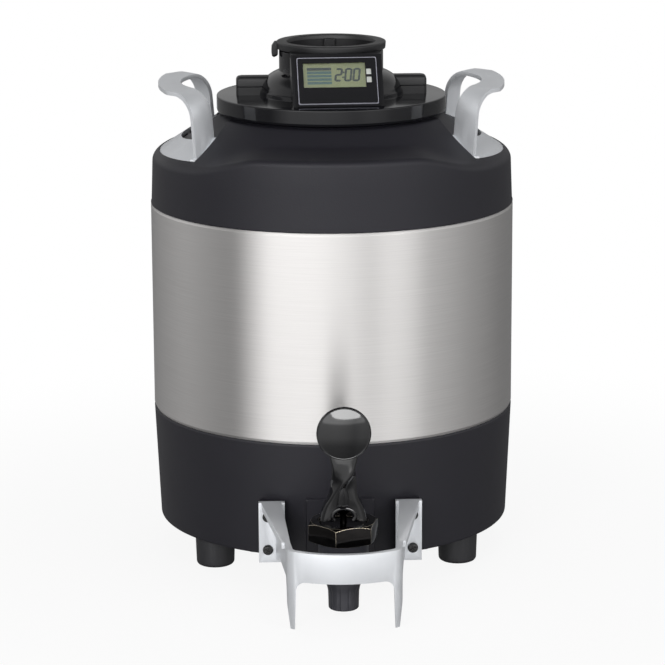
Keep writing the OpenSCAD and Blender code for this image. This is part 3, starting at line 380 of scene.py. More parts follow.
mouldings = {
    "cover_plastic": {
        "dark": (0.0112, 0.0108, 0.0150), "light": (0.0146, 0.0140, 0.0190), "cloud": 0.05, "pore": 0.0009,
        "rough": (0.46, 0.54), "depth": 5e-5, "shine": 0.38,
    },
    "lid_gloss": {
        "dark": (0.0040, 0.0040, 0.0055), "light": (0.0065, 0.0065, 0.0085), "cloud": 0.02, "pore": 0.004,
        "rough": (0.09, 0.15), "depth": 6e-6, "shine": 0.38,
    },
    "lid_matte": {
        "dark": (0.0075, 0.0075, 0.0085), "light": (0.0110, 0.0110, 0.0120), "cloud": 0.02, "pore": 0.0008,
        "rough": (0.40, 0.50), "depth": 3e-5,
    },
    "silver_paint": {
        "dark": (0.76, 0.78, 0.81), "light": (0.84, 0.86, 0.89), "cloud": 0.012, "pore": 0.0006,
        "rough": (0.36, 0.44), "depth": 1.2e-5, "metal": 0.45,
    },
    "black_screw": {
        "dark": (0.012, 0.012, 0.012), "light": (0.024, 0.024, 0.024), "cloud": 0.003, "pore": 0.0005,
        "rough": (0.22, 0.32), "depth": 1e-5,
    },
    "foot_rubber": {
        "dark": (0.014, 0.014, 0.016), "light": (0.022, 0.022, 0.025), "cloud": 0.01, "pore": 0.0007,
        "rough": (0.50, 0.60), "depth": 4e-5,
    },
    "silicone": {
        "dark": (0.66, 0.65, 0.61), "light": (0.76, 0.75, 0.71), "cloud": 0.01, "pore": 0.001,
        "rough": (0.40, 0.50), "depth": 2e-5,
    },
    "dark_seal": {
        "dark": (0.035, 0.035, 0.035), "light": (0.055, 0.055, 0.055), "cloud": 0.01, "pore": 0.0008,
        "rough": (0.45, 0.55), "depth": 2e-5,
    },
    "tap_plastic": {
        "dark": (0.030, 0.030, 0.037), "light": (0.040, 0.040, 0.049), "cloud": 0.012, "pore": 0.0008,
        "rough": (0.34, 0.42), "depth": 2e-5,
    },
    "lever_gloss": {
        "dark": (0.003, 0.003, 0.004), "light": (0.006, 0.006, 0.007), "cloud": 0.015, "pore": 0.004,
        "rough": (0.05, 0.09), "depth": 4e-6, "shine": 0.55,
    },
    "lcd_green": {
        "dark": (0.235, 0.260, 0.125), "light": (0.270, 0.295, 0.150), "cloud": 0.012, "pore": 0.0004,
        "rough": (0.28, 0.36), "depth": 4e-6,
    },
    "lcd_ink": {
        "dark": (0.010, 0.022, 0.026), "light": (0.018, 0.036, 0.040), "cloud": 0.006, "pore": 0.0005,
        "rough": (0.35, 0.45), "depth": 2e-6,
    },
    "lcd_teal": {
        "dark": (0.045, 0.105, 0.110), "light": (0.060, 0.130, 0.130), "cloud": 0.006, "pore": 0.0005,
        "rough": (0.35, 0.45), "depth": 2e-6,
    },
    # painted highlight: pale grey-lilac for the bright lines where the window's edges catch light
    "window_edge": {
        "dark": (0.26, 0.26, 0.31), "light": (0.42, 0.42, 0.48), "cloud": 0.008, "pore": 0.0008,
        "rough": (0.20, 0.32), "depth": 4e-6,
    },
    "light_white": {
        "dark": (0.74, 0.74, 0.70), "light": (0.84, 0.84, 0.80), "cloud": 0.002, "pore": 0.0005,
        "rough": (0.30, 0.40), "depth": 6e-6,
    },
    "board_green": {
        "dark": (0.008, 0.050, 0.020), "light": (0.014, 0.085, 0.035), "cloud": 0.004, "pore": 0.001,
        "rough": (0.35, 0.45), "depth": 1e-5,
    },
}
windowClear = {
    "dark": (0.93, 0.95, 0.95), "light": (0.97, 0.98, 0.98), "ior": 1.46, "haze": 0.02, "rough": (0.02, 0.05),
}
finishes = {name: metalFinish(name, d) for name, d in metals.items()}
finishes.update({name: mouldedFinish(name, d) for name, d in mouldings.items()})
finishes["window_clear"] = windowFinish("window_clear", windowClear)
slotOf = {part["node"]: part["material_slot"] for part in frame["record"]["subparts"]}
for node, slot in slotOf.items():
    held = nodes[node].data.materials
    held.clear()
    held.append(finishes[slot])
print("finishes:", len(finishes))

# Shape helpers
softAngle = 35  # degrees, sharper edges stay crisp
spare = 0.001  # how far a cutter goes past a face
standUp = Matrix(((1, 0, 0, 0), (0, 0, -1, 0), (0, 1, 0, 0), (0, 0, 0, 1)))  # a shape's top to the front


def keep(name, mesh, body, slot, *standsFor):
    mesh.name = name
    mesh.materials.append(finishes[slot])
    piece = newObject(name, mesh)
    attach(piece, body)
    if standsFor:
        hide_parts(*standsFor)
    return piece


def smoothMesh(bm, sharp=softAngle):
    bmesh.ops.recalc_face_normals(bm, faces=bm.faces)
    mesh = bpy.data.meshes.new("shape")
    bm.to_mesh(mesh)
    bm.free()
    mesh.polygons.foreach_set("use_smooth", [True] * len(mesh.polygons))
    mesh.set_sharp_from_angle(angle=radians(sharp))
    return mesh


def inMetres(rows):
    return [tuple(v * mm for v in row) for row in rows]


def wheel(steps):
    return [2 * pi * i / steps for i in range(steps)]


def weave(bm, rows, closed=True):
    for row, after in zip(rows, rows[1:] + rows[:1] if closed else rows[1:]):
        for k in range(len(row)):
            n = (k + 1) % len(row)
            bm.faces.new((row[k], row[n], after[n], after[k]))


def bridge(bm, foot, head):
    bm.faces.new(foot)
    bm.faces.new(head)
    weave(bm, [foot, head], False)


def between(stations, steps=4):
    rows = []
    for i in range(len(stations) - 1):
        p0 = stations[max(i - 1, 0)]
        p1, p2 = stations[i], stations[i + 1]
        p3 = stations[min(i + 2, len(stations) - 1)]
        for k in range(steps):
            t = k / steps
            rows.append([
                0.5 * (2 * q1 + (q2 - q0) * t + (2 * q0 - 5 * q1 + 4 * q2 - q3) * t * t
                       + (3 * q1 - q0 - 3 * q2 + q3) * t ** 3)
                for q0, q1, q2, q3 in zip(p0, p1, p2, p3)
            ])
    rows.append(list(stations[-1]))
    return rows


def filleted(corners, steps=5):
    line = []
    for i, (x, z, size) in enumerate(corners):
        point = Vector((x, z))
        back = Vector(corners[i - 1][:2]) - point
        ahead = Vector(corners[(i + 1) % len(corners)][:2]) - point
        if size <= 0:
            line.append(point)
            continue
        run = size / tan(back.angle(ahead) / 2)
        run = min(run, back.length * 0.49, ahead.length * 0.49)
        start, end = point + back.normalized() * run, point + ahead.normalized() * run
        for k in range(steps + 1):
            t = k / steps
            line.append(start * (1 - t) ** 2 + point * 2 * t * (1 - t) + end * t * t)
    return line


def turned(corners, centre, steps):
    line = filleted(corners)
    bm = bmesh.new()
    rings = []
    for a in wheel(steps):
        around = [(centre.x + p.x * cos(a), centre.y + p.x * sin(a), p.y) for p in line]
        rings.append([bm.verts.new(p) for p in around])
    weave(bm, rings)
    bmesh.ops.remove_doubles(bm, verts=bm.verts, dist=1e-6)
    bmesh.ops.delete(bm, geom=[e for e in bm.edges if not e.link_faces], context="EDGES")
    return smoothMesh(bm)


def creases(bm, degrees):
    limit = radians(degrees)
    return [e for e in bm.edges if len(e.link_faces) == 2 and e.calc_face_angle(0) > limit]


softening = {"merge": 2e-6, "least": 1e-6, "flat": 0.6, "crease": 32, "rounds": 2, "profile": 0.6}


def softened(node, width):
    d = softening
    source = nodes[node].data
    bm = bmesh.new()
    spots = [bm.verts.new(v.co) for v in source.vertices]
    for face in source.polygons:
        bm.faces.new([spots[i] for i in face.vertices])
    bmesh.ops.remove_doubles(bm, verts=bm.verts, dist=d["merge"])
    bmesh.ops.dissolve_degenerate(bm, edges=bm.edges, dist=d["least"])
    bmesh.ops.dissolve_limit(bm, angle_limit=radians(d["flat"]), verts=bm.verts, edges=bm.edges)
    bmesh.ops.bevel(
        bm, geom=creases(bm, d["crease"]), offset=width, offset_type="OFFSET", segments=d["rounds"],
        profile=d["profile"], affect="EDGES", clamp_overlap=True, material=-1,
    )
    return smoothMesh(bm)


def carved(mesh, cutter, how="DIFFERENCE"):
    solid, tool = newObject("solid", mesh), newObject("tool", cutter)
    cut = solid.modifiers.new("cut", "BOOLEAN")
    cut.operation = how
    cut.solver = "EXACT"
    cut.object = tool
    graph = bpy.context.evaluated_depsgraph_get()
    shape = bpy.data.meshes.new_from_object(solid.evaluated_get(graph))
    bpy.data.objects.remove(solid)
    bpy.data.objects.remove(tool)
    shape.polygons.foreach_set("use_smooth", [True] * len(shape.polygons))
    shape.set_sharp_from_angle(angle=radians(softAngle))
    return shape


def block(outline, low, high):
    bm = bmesh.new()
    foot, head = ([bm.verts.new((*q, z)) for q in outline] for z in (low, high))
    bridge(bm, foot, head)
    return smoothMesh(bm)


def oblong(x0, x1, y0, y1):
    return [(x0, y0), (x1, y0), (x1, y1), (x0, y1)]


def tapCircle(r):
    return [(r * mm * cos(a), tapY + r * mm * sin(a)) for a in wheel(64)]


def roundedOutline(halfX, halfY, corner, steps=5):
    line = []
    for sx, sy in ((1, 1), (-1, 1), (-1, -1), (1, -1)):
        for k in range(steps + 1):
            a = atan2(sy, sx) - pi / 4 + pi / 2 * k / steps
            x, y = sx * (halfX - corner), sy * (halfY - corner)
            line.append((x + corner * cos(a), y + corner * sin(a)))
    return line


def skinned(rings, sharp=softAngle):
    bm = bmesh.new()
    rows = [[bm.verts.new(q) for q in ring] for ring in rings]
    weave(bm, rows, False)
    bm.faces.new(rows[0])
    bm.faces.new(rows[-1])
    return smoothMesh(bm, sharp)


# Top cover, in metres: a coned shoulder with higher brows at front and rear, and a sunk bed for each handle
topCover = {
    "foot": 0.2251, "wallR": 0.115, "edgeR": 0.1136, "edge": 0.0034, "wall": 0.003, "steps": 288,
    "footStep": (0.0004, 0.0003), "taper": 0.001,
    "coneAt": (0.11132, 0.25619), "cone": 33, "browAt": 0.268, "brow": 9, "browHalf": 0.0535,
    "browSoft": 0.0028, "fall": 22.5, "neckR": 0.068, "neckTop": 0.2815, "neckFoot": 0.074, "neckDeep": 0.006,
    "blendFrom": 0.03, "blendOver": 0.045, "blend": (0.0006, 0.0052),  # brow and cone meet softer outwards
    "underFrom": 0.075, "underOver": 0.035, "underDeep": 0.0068, "bedDepth": 0.0030, "bedR": 0.0976,
    "bedFrom": 0.0115, "legR": 0.08435, "legFrom": 0.143, "bedMid": 0.086, "bedRoof": 0.31,
}


def coneHeight(d, r):
    return d["coneAt"][1] + (d["coneAt"][0] - r) * tan(radians(d["cone"]))


def coverHeight(d, r, angle):
    side = abs(r * cos(angle))
    shelf = d["browAt"] + (d["edgeR"] - r) * tan(radians(d["brow"]))
    fall = d["browAt"] - (side - d["browHalf"]) * tan(radians(d["fall"]))
    brow = (shelf + fall - hypot(shelf - fall, d["browSoft"])) / 2
    reach = min(max((side - d["blendFrom"]) / d["blendOver"], 0), 1)
    blend = d["blend"][0] + d["blend"][1] * reach * reach * (3 - 2 * reach)
    cone = coneHeight(d, r)
    return (cone + brow + hypot(cone - brow, blend)) / 2


def coverMesh(d):
    bm = bmesh.new()
    foot, wallR, edgeR, edge, wall = d["foot"], d["wallR"], d["edgeR"], d["edge"], d["wall"]
    neckR, neckTop = d["neckR"], d["neckTop"]
    step, rise = d["footStep"]
    columns = []
    for a in wheel(d["steps"]):
        top = coverHeight(d, edgeR, a) - edge
        line = [(wallR, foot), (wallR - step, foot + rise)]
        line += [(wallR - step - d["taper"] * k / 3, foot + (top - foot) * k / 3) for k in (1, 2)]
        for k in range(7):
            turn = pi / 2 * k / 6
            r = edgeR - edge * (1 - cos(turn))
            line.append((r, coverHeight(d, r, a) - edge * (1 - sin(turn))))
        for k in range(1, 31):
            r = edgeR - edge - (edgeR - edge - d["neckFoot"]) * k / 30
            line.append((r, coverHeight(d, r, a)))
        line += [(neckR + 0.001, neckTop - 0.0008), (neckR, neckTop)]
        line += [(neckR - wall, neckTop), (neckR - wall, neckTop - d["neckDeep"])]
        for k in range(9):
            r = d["underFrom"] + d["underOver"] * k / 8
            line.append((r, coverHeight(d, r, a) - d["underDeep"]))
        line.append((edgeR - wall, foot))
        columns.append([bm.verts.new((r * cos(a), axisY + r * sin(a), z)) for r, z in line])
    weave(bm, columns)
    return smoothMesh(bm, 40)


def bedPlan(d):
    meet = (d["legR"] ** 2 - d["bedR"] ** 2 - d["legFrom"] ** 2 + d["bedFrom"] ** 2) / 2
    corner = meet / (d["legFrom"] - d["bedFrom"])  # where the two plan arcs cross
    tall = sqrt(d["bedR"] ** 2 - (corner + d["bedFrom"]) ** 2)
    outer = atan2(tall, -corner - d["bedFrom"])
    inner = atan2(tall, corner + d["legFrom"])
    plan = []
    for k in range(41):
        a = outer - 2 * outer * k / 40
        plan.append((-d["bedFrom"] - d["bedR"] * cos(a), d["bedR"] * sin(a)))
    for k in range(1, 40):
        a = -inner + 2 * inner * k / 40
        plan.append((-d["legFrom"] + d["legR"] * cos(a), d["legR"] * sin(a)))
    return plan


def bedCutter(d):
    bm = bmesh.new()
    plan = bedPlan(d)
    for side in (-1, 1):
        floor, roof = [], []
        for x, y in plan:
            low = coneHeight(d, hypot(x, y)) - d["bedDepth"]
            floor.append(bm.verts.new((-side * x, axisY + y, low)))
            roof.append(bm.verts.new((-side * x, axisY + y, d["bedRoof"])))
        midX = side * d["bedMid"]
        mid = bm.verts.new((midX, axisY, coneHeight(d, d["bedMid"]) - d["bedDepth"]))
        lid = bm.verts.new((midX, axisY, d["bedRoof"]))
        for i in range(len(plan)):
            n = (i + 1) % len(plan)
            bm.faces.new((floor[i], floor[n], roof[n], roof[i]))
            bm.faces.new((floor[i], floor[n], mid))
            bm.faces.new((roof[i], roof[n], lid))
    return smoothMesh(bm)


keep("topCover", carved(coverMesh(topCover), bedCutter(topCover)), "server", "cover_plastic", "top_cover")
print("top cover built")

# Steel band with hemmed edges, in metres
steelBand = {"hem": 0.0009, "wall": 0.0012}


def bandMesh(d):
    low, high, r = bandLow.z, bandHigh.z, bodyR
    hem, wall = d["hem"], d["wall"]
    corners = [
        (r - hem, low, 0.0004), (r, low + 2 * hem, 0.0006), (r, high - 2 * hem, 0.0006),
        (r - hem, high, 0.0004), (r - wall, high, 0.0001), (r - wall, low, 0.0001),
    ]
    return turned(corners, bodyAxis, 256)


keep("steelBand", bandMesh(steelBand), "server", "brushed_band", "outer_shell")

# Base cover, in millimetres like all below: a tapered wall, a pad behind the tap and one behind each flange
baseCover = {"low": 21.0, "top": 93.6, "lowR": 111.8, "topR": 115.0, "wall": 3.0, "foot": 3.2}
basePads = {  # middle, half width, low, top, front, and how far each goes back
    "tapPad": (0.0, 21.0, 21.4, 59.4, 114.6, 8),
    "leftPad": (-42.2, 7.3, 21.6, 57.4, 112.3, 8),
    "rightPad": (42.2, 7.3, 21.6, 57.4, 112.3, 8),
}


def baseMesh(d):
    lowR, topR, low, top, wall = d["lowR"], d["topR"], d["low"], d["top"], d["wall"]
    corners = [
        (lowR - wall, low, 0.3), (lowR, low, d["foot"]), (topR - 0.03, top - 1.2, 0.3),
        (topR - 0.5, top, 0.4), (topR - wall, top, 0.3),
    ]
    return turned(inMetres(corners), bodyAxis, 288)


def padMesh(middle, half, low, top, front, back):
    rings = []
    for deep, inset in ((0, 0.5), (0.5, 0), (back, 0)):
        line = roundedOutline(half - inset, (top - low) / 2 - inset, 1.2)
        spots = [Vector((middle + x, -front + deep, (low + top) / 2 + z)) for x, z in line]
        rings.append([bodyAxis + spot * mm for spot in spots])
    return skinned(rings)


keep("baseCover", baseMesh(baseCover), "server", "cover_plastic", "base_cover")
for name, size in basePads.items():
    keep(name, padMesh(*size), "server", "cover_plastic")

# Pieces whose CAD shape stays and whose edges are softened
softEdges = {
    "tap_body": 0.6, "foot_front_left": 0.8, "foot_front_right": 0.8, "foot_rear_left": 0.8,
    "foot_rear_right": 0.8,
}


def pieceName(node):
    first, *rest = node.split("_")
    return first + "".join(word.capitalize() for word in rest)


for node, width in softEdges.items():
    keep(pieceName(node), softened(node, width * mm), body_of(nodes[node])[0], slotOf[node], node)
keep("tapStem", softened("tap_stem", 0.0003), "valve", "bonnet_black", "tap_stem")
print("edges softened:", len(softEdges) + 1)

# Handles: bent sheet, its ends trimmed square to the sheet
handleTrim = {
    "end": (85.6, 60.0), "slant": 46, "front": 0.6, "rear": 4.0, "low": 261.4, "high": 330.0, "edge": 0.5,
    "piece": oblong(-16, 46, 0, 34),  # what is cut off, across the sheet and along it
}


def handleMesh(node, d, side):
    sheet = softened(node, d["edge"] * mm)
    slant = radians(d["slant"])
    for end, back in ((-1, d["front"]), (1, d["rear"])):
        run = Vector((side * sin(slant), end * cos(slant)))
        across = Vector((-run.y, run.x))
        start = Vector((side * d["end"][0], end * d["end"][1])) - run * back
        across *= -side * end  # towards the flange
        plan = [start + across * w + run * f for w, f in d["piece"]]
        outline = [(q.x * mm, axisY + q.y * mm) for q in plan]
        sheet = carved(sheet, block(outline, d["low"] * mm, d["high"] * mm))
    return sheet


for node, side in (("left_handle", -1), ("right_handle", 1)):
    keep(pieceName(node), handleMesh(node, handleTrim, side), "server", "silver_paint", node)

# Guard: the cast bracket, with its flanges trimmed to the arms
guardTrim = {"half": 34.0, "thick": 4.6, "edge": 0.9}


def guardMesh(d):
    low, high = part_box("tap_guard")
    half, back = d["half"] * mm, high.y + spare
    outline = oblong(-half, half, back - d["thick"] * mm - spare, back)
    trim = block(outline, low.z - 10 * spare, high.z + 10 * spare)
    return carved(softened("tap_guard", d["edge"] * mm), trim)


keep("tapGuard", guardMesh(guardTrim), "server", "silver_paint", "tap_guard")

# Bonnet: a hexagon turned off at its corners, its bevelled edges painted bronze as a highlight
bonnetShape = {
    "hex": 22.0, "turn": -14, "crown": 19.5, "clear": 0.6, "topSlope": 30, "lowSlope": 14, "edge": 0.38,
    "flat": 2, "crease": 20,
    # radius, foot and head from the top: the well on top, then the chamber below and the stem's hole
    "well": (15.0, -2.2, 10), "inside": ((15.1, -20, -3.0), (2.05, -10, 10)),
}


def bored(mesh, top, r, foot, head):
    return carved(mesh, block(tapCircle(r), top + foot * mm, top + head * mm))


def bonnetMesh(d):
    low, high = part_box("tap_bonnet")
    tall = (high.z - low.z) / mm
    crown, out = d["crown"], d["hex"] + d["clear"]
    fall = (out - crown) * tan(radians(d["topSlope"]))
    lift = (out - crown) * tan(radians(d["lowSlope"]))
    line = [(0, 0), (crown, 0), (out, lift), (out, tall - fall), (crown, tall), (0, tall)]
    corners = [(x * mm, low.z + z * mm, 0) for x, z in line]
    barrel = turned(corners, Vector((0, tapY, 0)), 192)
    outline = []
    for k in range(6):
        a = radians(-90 + d["turn"] + 60 * k)
        outline.append((d["hex"] * mm * cos(a), tapY + d["hex"] * mm * sin(a)))
    nut = carved(barrel, block(outline, low.z - spare, high.z + spare), "INTERSECT")
    nut = bored(nut, high.z, *d["well"])
    bm = bmesh.new()
    bm.from_mesh(nut)
    bmesh.ops.dissolve_limit(bm, angle_limit=radians(d["flat"]), verts=bm.verts, edges=bm.edges)
    bmesh.ops.bevel(
        bm, geom=creases(bm, d["crease"]), offset=d["edge"] * mm, segments=2, profile=0.5, affect="EDGES",
        clamp_overlap=True, material=1,  # the painted bronze highlight
    )
    nut = smoothMesh(bm)
    for size in d["inside"]:  # after the edges, which would have no room beside the stem's hole
        nut = bored(nut, high.z, *size)
    return nut


bonnet = keep("tapBonnet", bonnetMesh(bonnetShape), "server", "bonnet_black", "tap_bonnet")
# the bevelled edges take the painted bronze highlight
bonnet.data.materials.append(finishes["rubbed_bronze"])
print("guard and bonnet built")

# Return spring: its lower end rides on the valve
springShape = {"turns": 5, "r": 6.4, "wire": 1.3, "sides": 10, "perTurn": 28, "lift": 4.0}


def springMesh(d):
    low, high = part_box("tap_spring")
    half = d["wire"] / 2
    count = d["turns"] * d["perTurn"]
    tall = (high.z - low.z) / mm - d["wire"]
    rings = []
    for i in range(count + 1):
        a = 2 * pi * d["turns"] * i / count
        ring = []
        for b in wheel(d["sides"]):
            r, up = d["r"] + half * cos(b), half + tall * i / count + half * sin(b)
            ring.append(Vector((r * cos(a) * mm, tapY + r * sin(a) * mm, low.z + up * mm)))
        rings.append(ring)
    return skinned(rings, 60)


def setSpring(d):
    spring = keep("tapSpring", springMesh(d), "valve", slotOf["tap_spring"], "tap_spring")
    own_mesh(spring)


setSpring(springShape)

# Lever: two cheeks that rise into a twisted neck and a stalk behind the knob
leverShape = {
    # height from the pin, half sizes across and deep before the twist, place of the middle, twist
    "stations": [
        (-7.0, 14.0, 7.6, 0.0, 0), (-3.0, 13.2, 8.0, 0.0, 0), (2.0, 11.6, 8.2, -0.4, 0),
        (7.0, 9.0, 8.0, -1.6, 2), (12.0, 7.2, 7.0, -3.4, 14), (16.0, 6.5, 6.4, -5.0, 34),
        (20.0, 6.2, 6.3, -6.6, 58), (24.0, 5.6, 6.7, -7.8, 78), (28.0, 4.6, 7.2, -8.6, 89),
        (33.0, 3.2, 8.2, -9.1, 90), (40.0, 2.0, 8.6, -9.1, 90), (54.0, 1.8, 8.2, -9.1, 90),
    ],
    "sides": 48, "square": 0.42, "archHalf": 6.0, "archTop": 0.6, "archFoot": -9, "archFlat": 0.75,
    "archDeep": 14,
}
hoodShape = {
    "r": 1.5, "sides": 12, "steps": 24, "past": 0.5, "overlap": 0.4, "front": -7.4, "bulge": 0.6, "drop": 4.2,
    "flat": 0.78,
}
ribShape = {
    # height from the pin, half width and front
    "rows": [
        (1.0, 4.4, -8.7), (4, 4.2, -9.7), (8, 3.8, -10.6), (12, 3.0, -11.3), (15.5, 1.6, -11.6),
        (17, 0.6, -11.4),
    ],
    "sides": 20, "aside": -0.6, "set": 1.6, "deep": 2.2,
}


def leverMesh(d):
    rings = []
    for up, a, b, mid, twist in between(d["stations"]):
        c0, s0 = cos(radians(twist)), sin(radians(twist))
        ring = []
        for t in wheel(d["sides"]):
            c, n = cos(t), sin(t)
            x = a * copysign(abs(c) ** d["square"], c)
            y = b * copysign(abs(n) ** d["square"], n)
            ring.append(pivot + Vector((x * c0 - y * s0, mid + (x * s0 + y * c0), up)) * mm)
        rings.append(ring)
    half, foot = d["archHalf"], d["archFoot"]
    outline = [(-half, foot)]
    for k in range(13):
        a = pi - pi * k / 12
        outline.append((half * cos(a), d["archTop"] - half * d["archFlat"] * (1 - sin(a))))
    outline.append((half, foot))
    arch = block(outline, -d["archDeep"], d["archDeep"])
    arch.transform(Matrix.Translation(pivot) @ Matrix.Scale(mm, 4) @ standUp)
    return carved(skinned(rings, 50), arch)


def hoodMesh(d, lever):
    reach = lever["archHalf"] + d["r"] * d["overlap"]
    path = []
    for k in range(d["steps"] + 1):
        a = pi + d["past"] - (pi + 2 * d["past"]) * k / d["steps"]
        front = d["front"] - d["bulge"] * sin(max(a, 0))
        up = lever["archTop"] - d["drop"] + reach * d["flat"] * sin(a)
        path.append(Vector((reach * cos(a), front, up)))
    rings = []
    for k, spot in enumerate(path):
        ahead = (path[min(k + 1, d["steps"])] - path[max(k - 1, 0)]).normalized()
        side = Vector((0, -1, 0))
        over = ahead.cross(side).normalized()
        ring = []
        for t in wheel(d["sides"]):
            ring.append(pivot + (spot + (side * cos(t) + over * sin(t)) * d["r"]) * mm)
        rings.append(ring)
    return skinned(rings, 60)


def ribMesh(d):
    rings = []
    for up, half, front in between(d["rows"]):
        ring = []
        for t in wheel(d["sides"]):
            x, y = d["aside"] + half * cos(t), front + d["set"] + d["deep"] * sin(t)
            ring.append(pivot + Vector((x, y, up)) * mm)
        rings.append(ring)
    return skinned(rings, 60)


keep("tapLever", leverMesh(leverShape), "lever", "lever_gloss", "tap_lever")
keep("leverHood", hoodMesh(hoodShape, leverShape), "lever", "lever_gloss")
keep("leverRib", ribMesh(ribShape), "lever", "lever_gloss")

# Knob: a bare domed disc with a beaded rim
knobShape = {"r": 16.2, "thick": 7.0, "dome": 3.5, "bead": 1.1}


def knobMesh(d):
    low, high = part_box("tap_knob")
    r, thick, bead = d["r"], d["thick"], d["bead"]
    rim = thick - d["dome"]
    corners = [
        (0, 0, 0), (r - 1.6, 0, 0.6), (r - 0.4, 1.0, 0.6), (r, 2.2, 0.8), (r, rim - 0.6, 0.9),
        (r - 0.7, rim + 0.5, 0.5), (r - bead, rim + 0.35, 0.25),
    ]
    for k in range(1, 13):
        x = (r - bead) * (1 - k / 12)
        corners.append((x, rim + 0.35 + (d["dome"] - 0.35) * (1 - (x / (r - bead)) ** 2), 0))
    mesh = turned(inMetres(corners), Vector(), 96)
    mesh.transform(Matrix.Translation((0, high.y, (low.z + high.z) / 2)) @ standUp)
    return mesh


keep("tapKnob", knobMesh(knobShape), "lever", "lever_gloss", "tap_knob")
print("lever and knob built")

# Spout with a flared collar and shallow flutes
spoutShape = {"flutes": 10, "depth": 0.45, "bore": 6.2}


def spoutMesh(d):
    low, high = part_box("tap_spout")
    r = (high.x - low.x) / 2 / mm
    tall = (high.z - low.z) / mm
    rows = [  # height, radius and share of the flutes' depth
        (0, r - 2.0, 0.2), (0.7, r - 1.45, 1), (6, r - 1.35, 1), (11, r - 1.2, 1), (13.5, r - 0.7, 0.5),
        (15.5, r - 0.1, 0), (tall - 0.5, r, 0), (tall, r - 0.4, 0),
    ]
    rings = []
    for up, size, share in rows:
        ring = []
        for a in wheel(160):
            wave = max(cos(a * d["flutes"]), 0) ** 6
            q = size - d["depth"] * share * wave
            ring.append(Vector((q * cos(a) * mm, tapY + q * sin(a) * mm, low.z + up * mm)))
        rings.append(ring)
    bore = block(tapCircle(d["bore"]), low.z - 10 * spare, high.z + 10 * spare)
    return carved(skinned(rings), bore)


keep("tapSpout", spoutMesh(spoutShape), "server", "tap_plastic", "tap_spout")

# Guard screws: pan heads with a cross recess
panScrew = {
    "r": 3.2, "high": 1.8, "slot": 0.75, "reach": 2.0, "deep": 1.2, "shankR": 2.0, "shank": 9.5,
    "shankAt": 4.9, "turns": (25, 35, 20),  # the first screw's, and what each column and row adds
}


def screwMesh(d):
    r, high = d["r"], d["high"]
    corners = [(0, 0, 0), (r, 0, 0), (r, 0.7, 0.5), (r * 0.72, high, 0.8), (0, high, 0)]
    head = turned(inMetres(corners), Vector(), 48)
    s, e = d["slot"] / 2 * mm, d["reach"] * mm
    cross = [
        (-s, -e), (s, -e), (s, -s), (e, -s), (e, s), (s, s), (s, e), (-s, e), (-s, s), (-e, s),
        (-e, -s), (-s, -s),
    ]
    return carved(head, block(cross, (high - d["deep"]) * mm, 2 * high * mm))


def screwSet(d):
    low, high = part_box("guard_screws")
    one = screwMesh(d)
    first, perColumn, perRow = d["turns"]
    r, seat = d["r"] * mm, low.y + d["high"] * mm
    bm = bmesh.new()
    for i, x in enumerate((low.x + r, high.x - r)):
        for k, z in enumerate((low.z + r, high.z - r)):
            copy = one.copy()
            turn = Matrix.Rotation(radians(first + perColumn * i + perRow * k), 4, "Y")
            copy.transform(Matrix.Translation((x, seat, z)) @ turn @ standUp)
            bm.from_mesh(copy)
            shank = bmesh.ops.create_cone(
                bm, cap_ends=True, segments=32, radius1=d["shankR"] * mm, radius2=d["shankR"] * mm,
                depth=d["shank"] * mm,
            )
            place = Matrix.Translation((x, seat + d["shankAt"] * mm, z))
            place = place @ Matrix.Rotation(pi / 2, 4, "X")
            bmesh.ops.transform(bm, matrix=place, verts=shank["verts"])
    return smoothMesh(bm)


keep("guardScrews", screwSet(panScrew), "server", "black_screw", "guard_screws")
print("spout and screws built")

# Lid: one turned shape for band, disc, dome and collar, with two twist wings
lidShape = {
    "r": 72.4, "lip": 282.5, "under": 284.1, "top": 292.6, "domeR": 45.2, "domeFoot": 295.6, "domeTop": 307.6,
    "collarR": 32.8, "collarIn": 30.2, "collarTop": 320.6, "well": 297.6, "hole": 9.0, "sweep": 64,
}
wingShape = {
    "from": 31.0, "to": 60.0, "half": 6.0, "foot": 292.4, "corner": 2.2,
    # height and inset
    "rows": ((0, 0), (5.2, 0), (5.5, 0.45), (5.8, 0), (9.4, 0), (10.6, 0.35), (11.4, 1.1), (11.8, 2.2)),
}


def lidMesh(d):
    r, top, under, well = d["r"], d["top"], d["under"], d["well"]
    domeR, domeFoot, collarR, collarIn = d["domeR"], d["domeFoot"], d["collarR"], d["collarIn"]
    corners = [
        (r - 4, d["lip"], 0.3), (r - 0.5, d["lip"], 0.4), (r, under, 0.5), (r, top, 0.9),
        (domeR + 0.4, top, 0.5), (domeR, domeFoot, 0.4), (domeR - 0.7, domeFoot + 0.2, 0.2),
    ]
    tall = d["domeTop"] - domeFoot - 0.3
    wide = domeR - 0.9 - collarR
    sweep = radians(d["sweep"])
    for k in range(1, 10):
        turn = sweep * k / 10
        inward = wide * (1 - cos(turn)) / (1 - cos(sweep))
        corners.append((domeR - 0.9 - inward, domeFoot + 0.3 + tall * sin(turn) / sin(sweep), 0))
    corners += [
        (collarR, d["domeTop"], 0.5), (collarR, d["collarTop"], 0.5), (collarIn, d["collarTop"], 0.4),
        (collarIn, well, 0.5), (d["hole"], well, 0.3), (d["hole"], under, 0.3), (r - 4, under, 0.3),
    ]
    return turned(inMetres(corners), bodyAxis, 224)


def wingMesh(d, side):
    mid, halfX = (d["from"] + d["to"]) / 2, (d["to"] - d["from"]) / 2
    rings = []
    for up, inset in d["rows"]:
        ring = roundedOutline(halfX - inset, d["half"] - inset, d["corner"])
        rings.append([bodyAxis + Vector((side * mid + x, y, d["foot"] + up)) * mm for x, y in ring])
    return skinned(rings)


keep("lidBody", lidMesh(lidShape), "lid", "lid_gloss", "lid_body")
keep("lidWingLeft", wingMesh(wingShape, -1), "lid", "lid_matte")
keep("lidWingRight", wingMesh(wingShape, 1), "lid", "lid_matte")

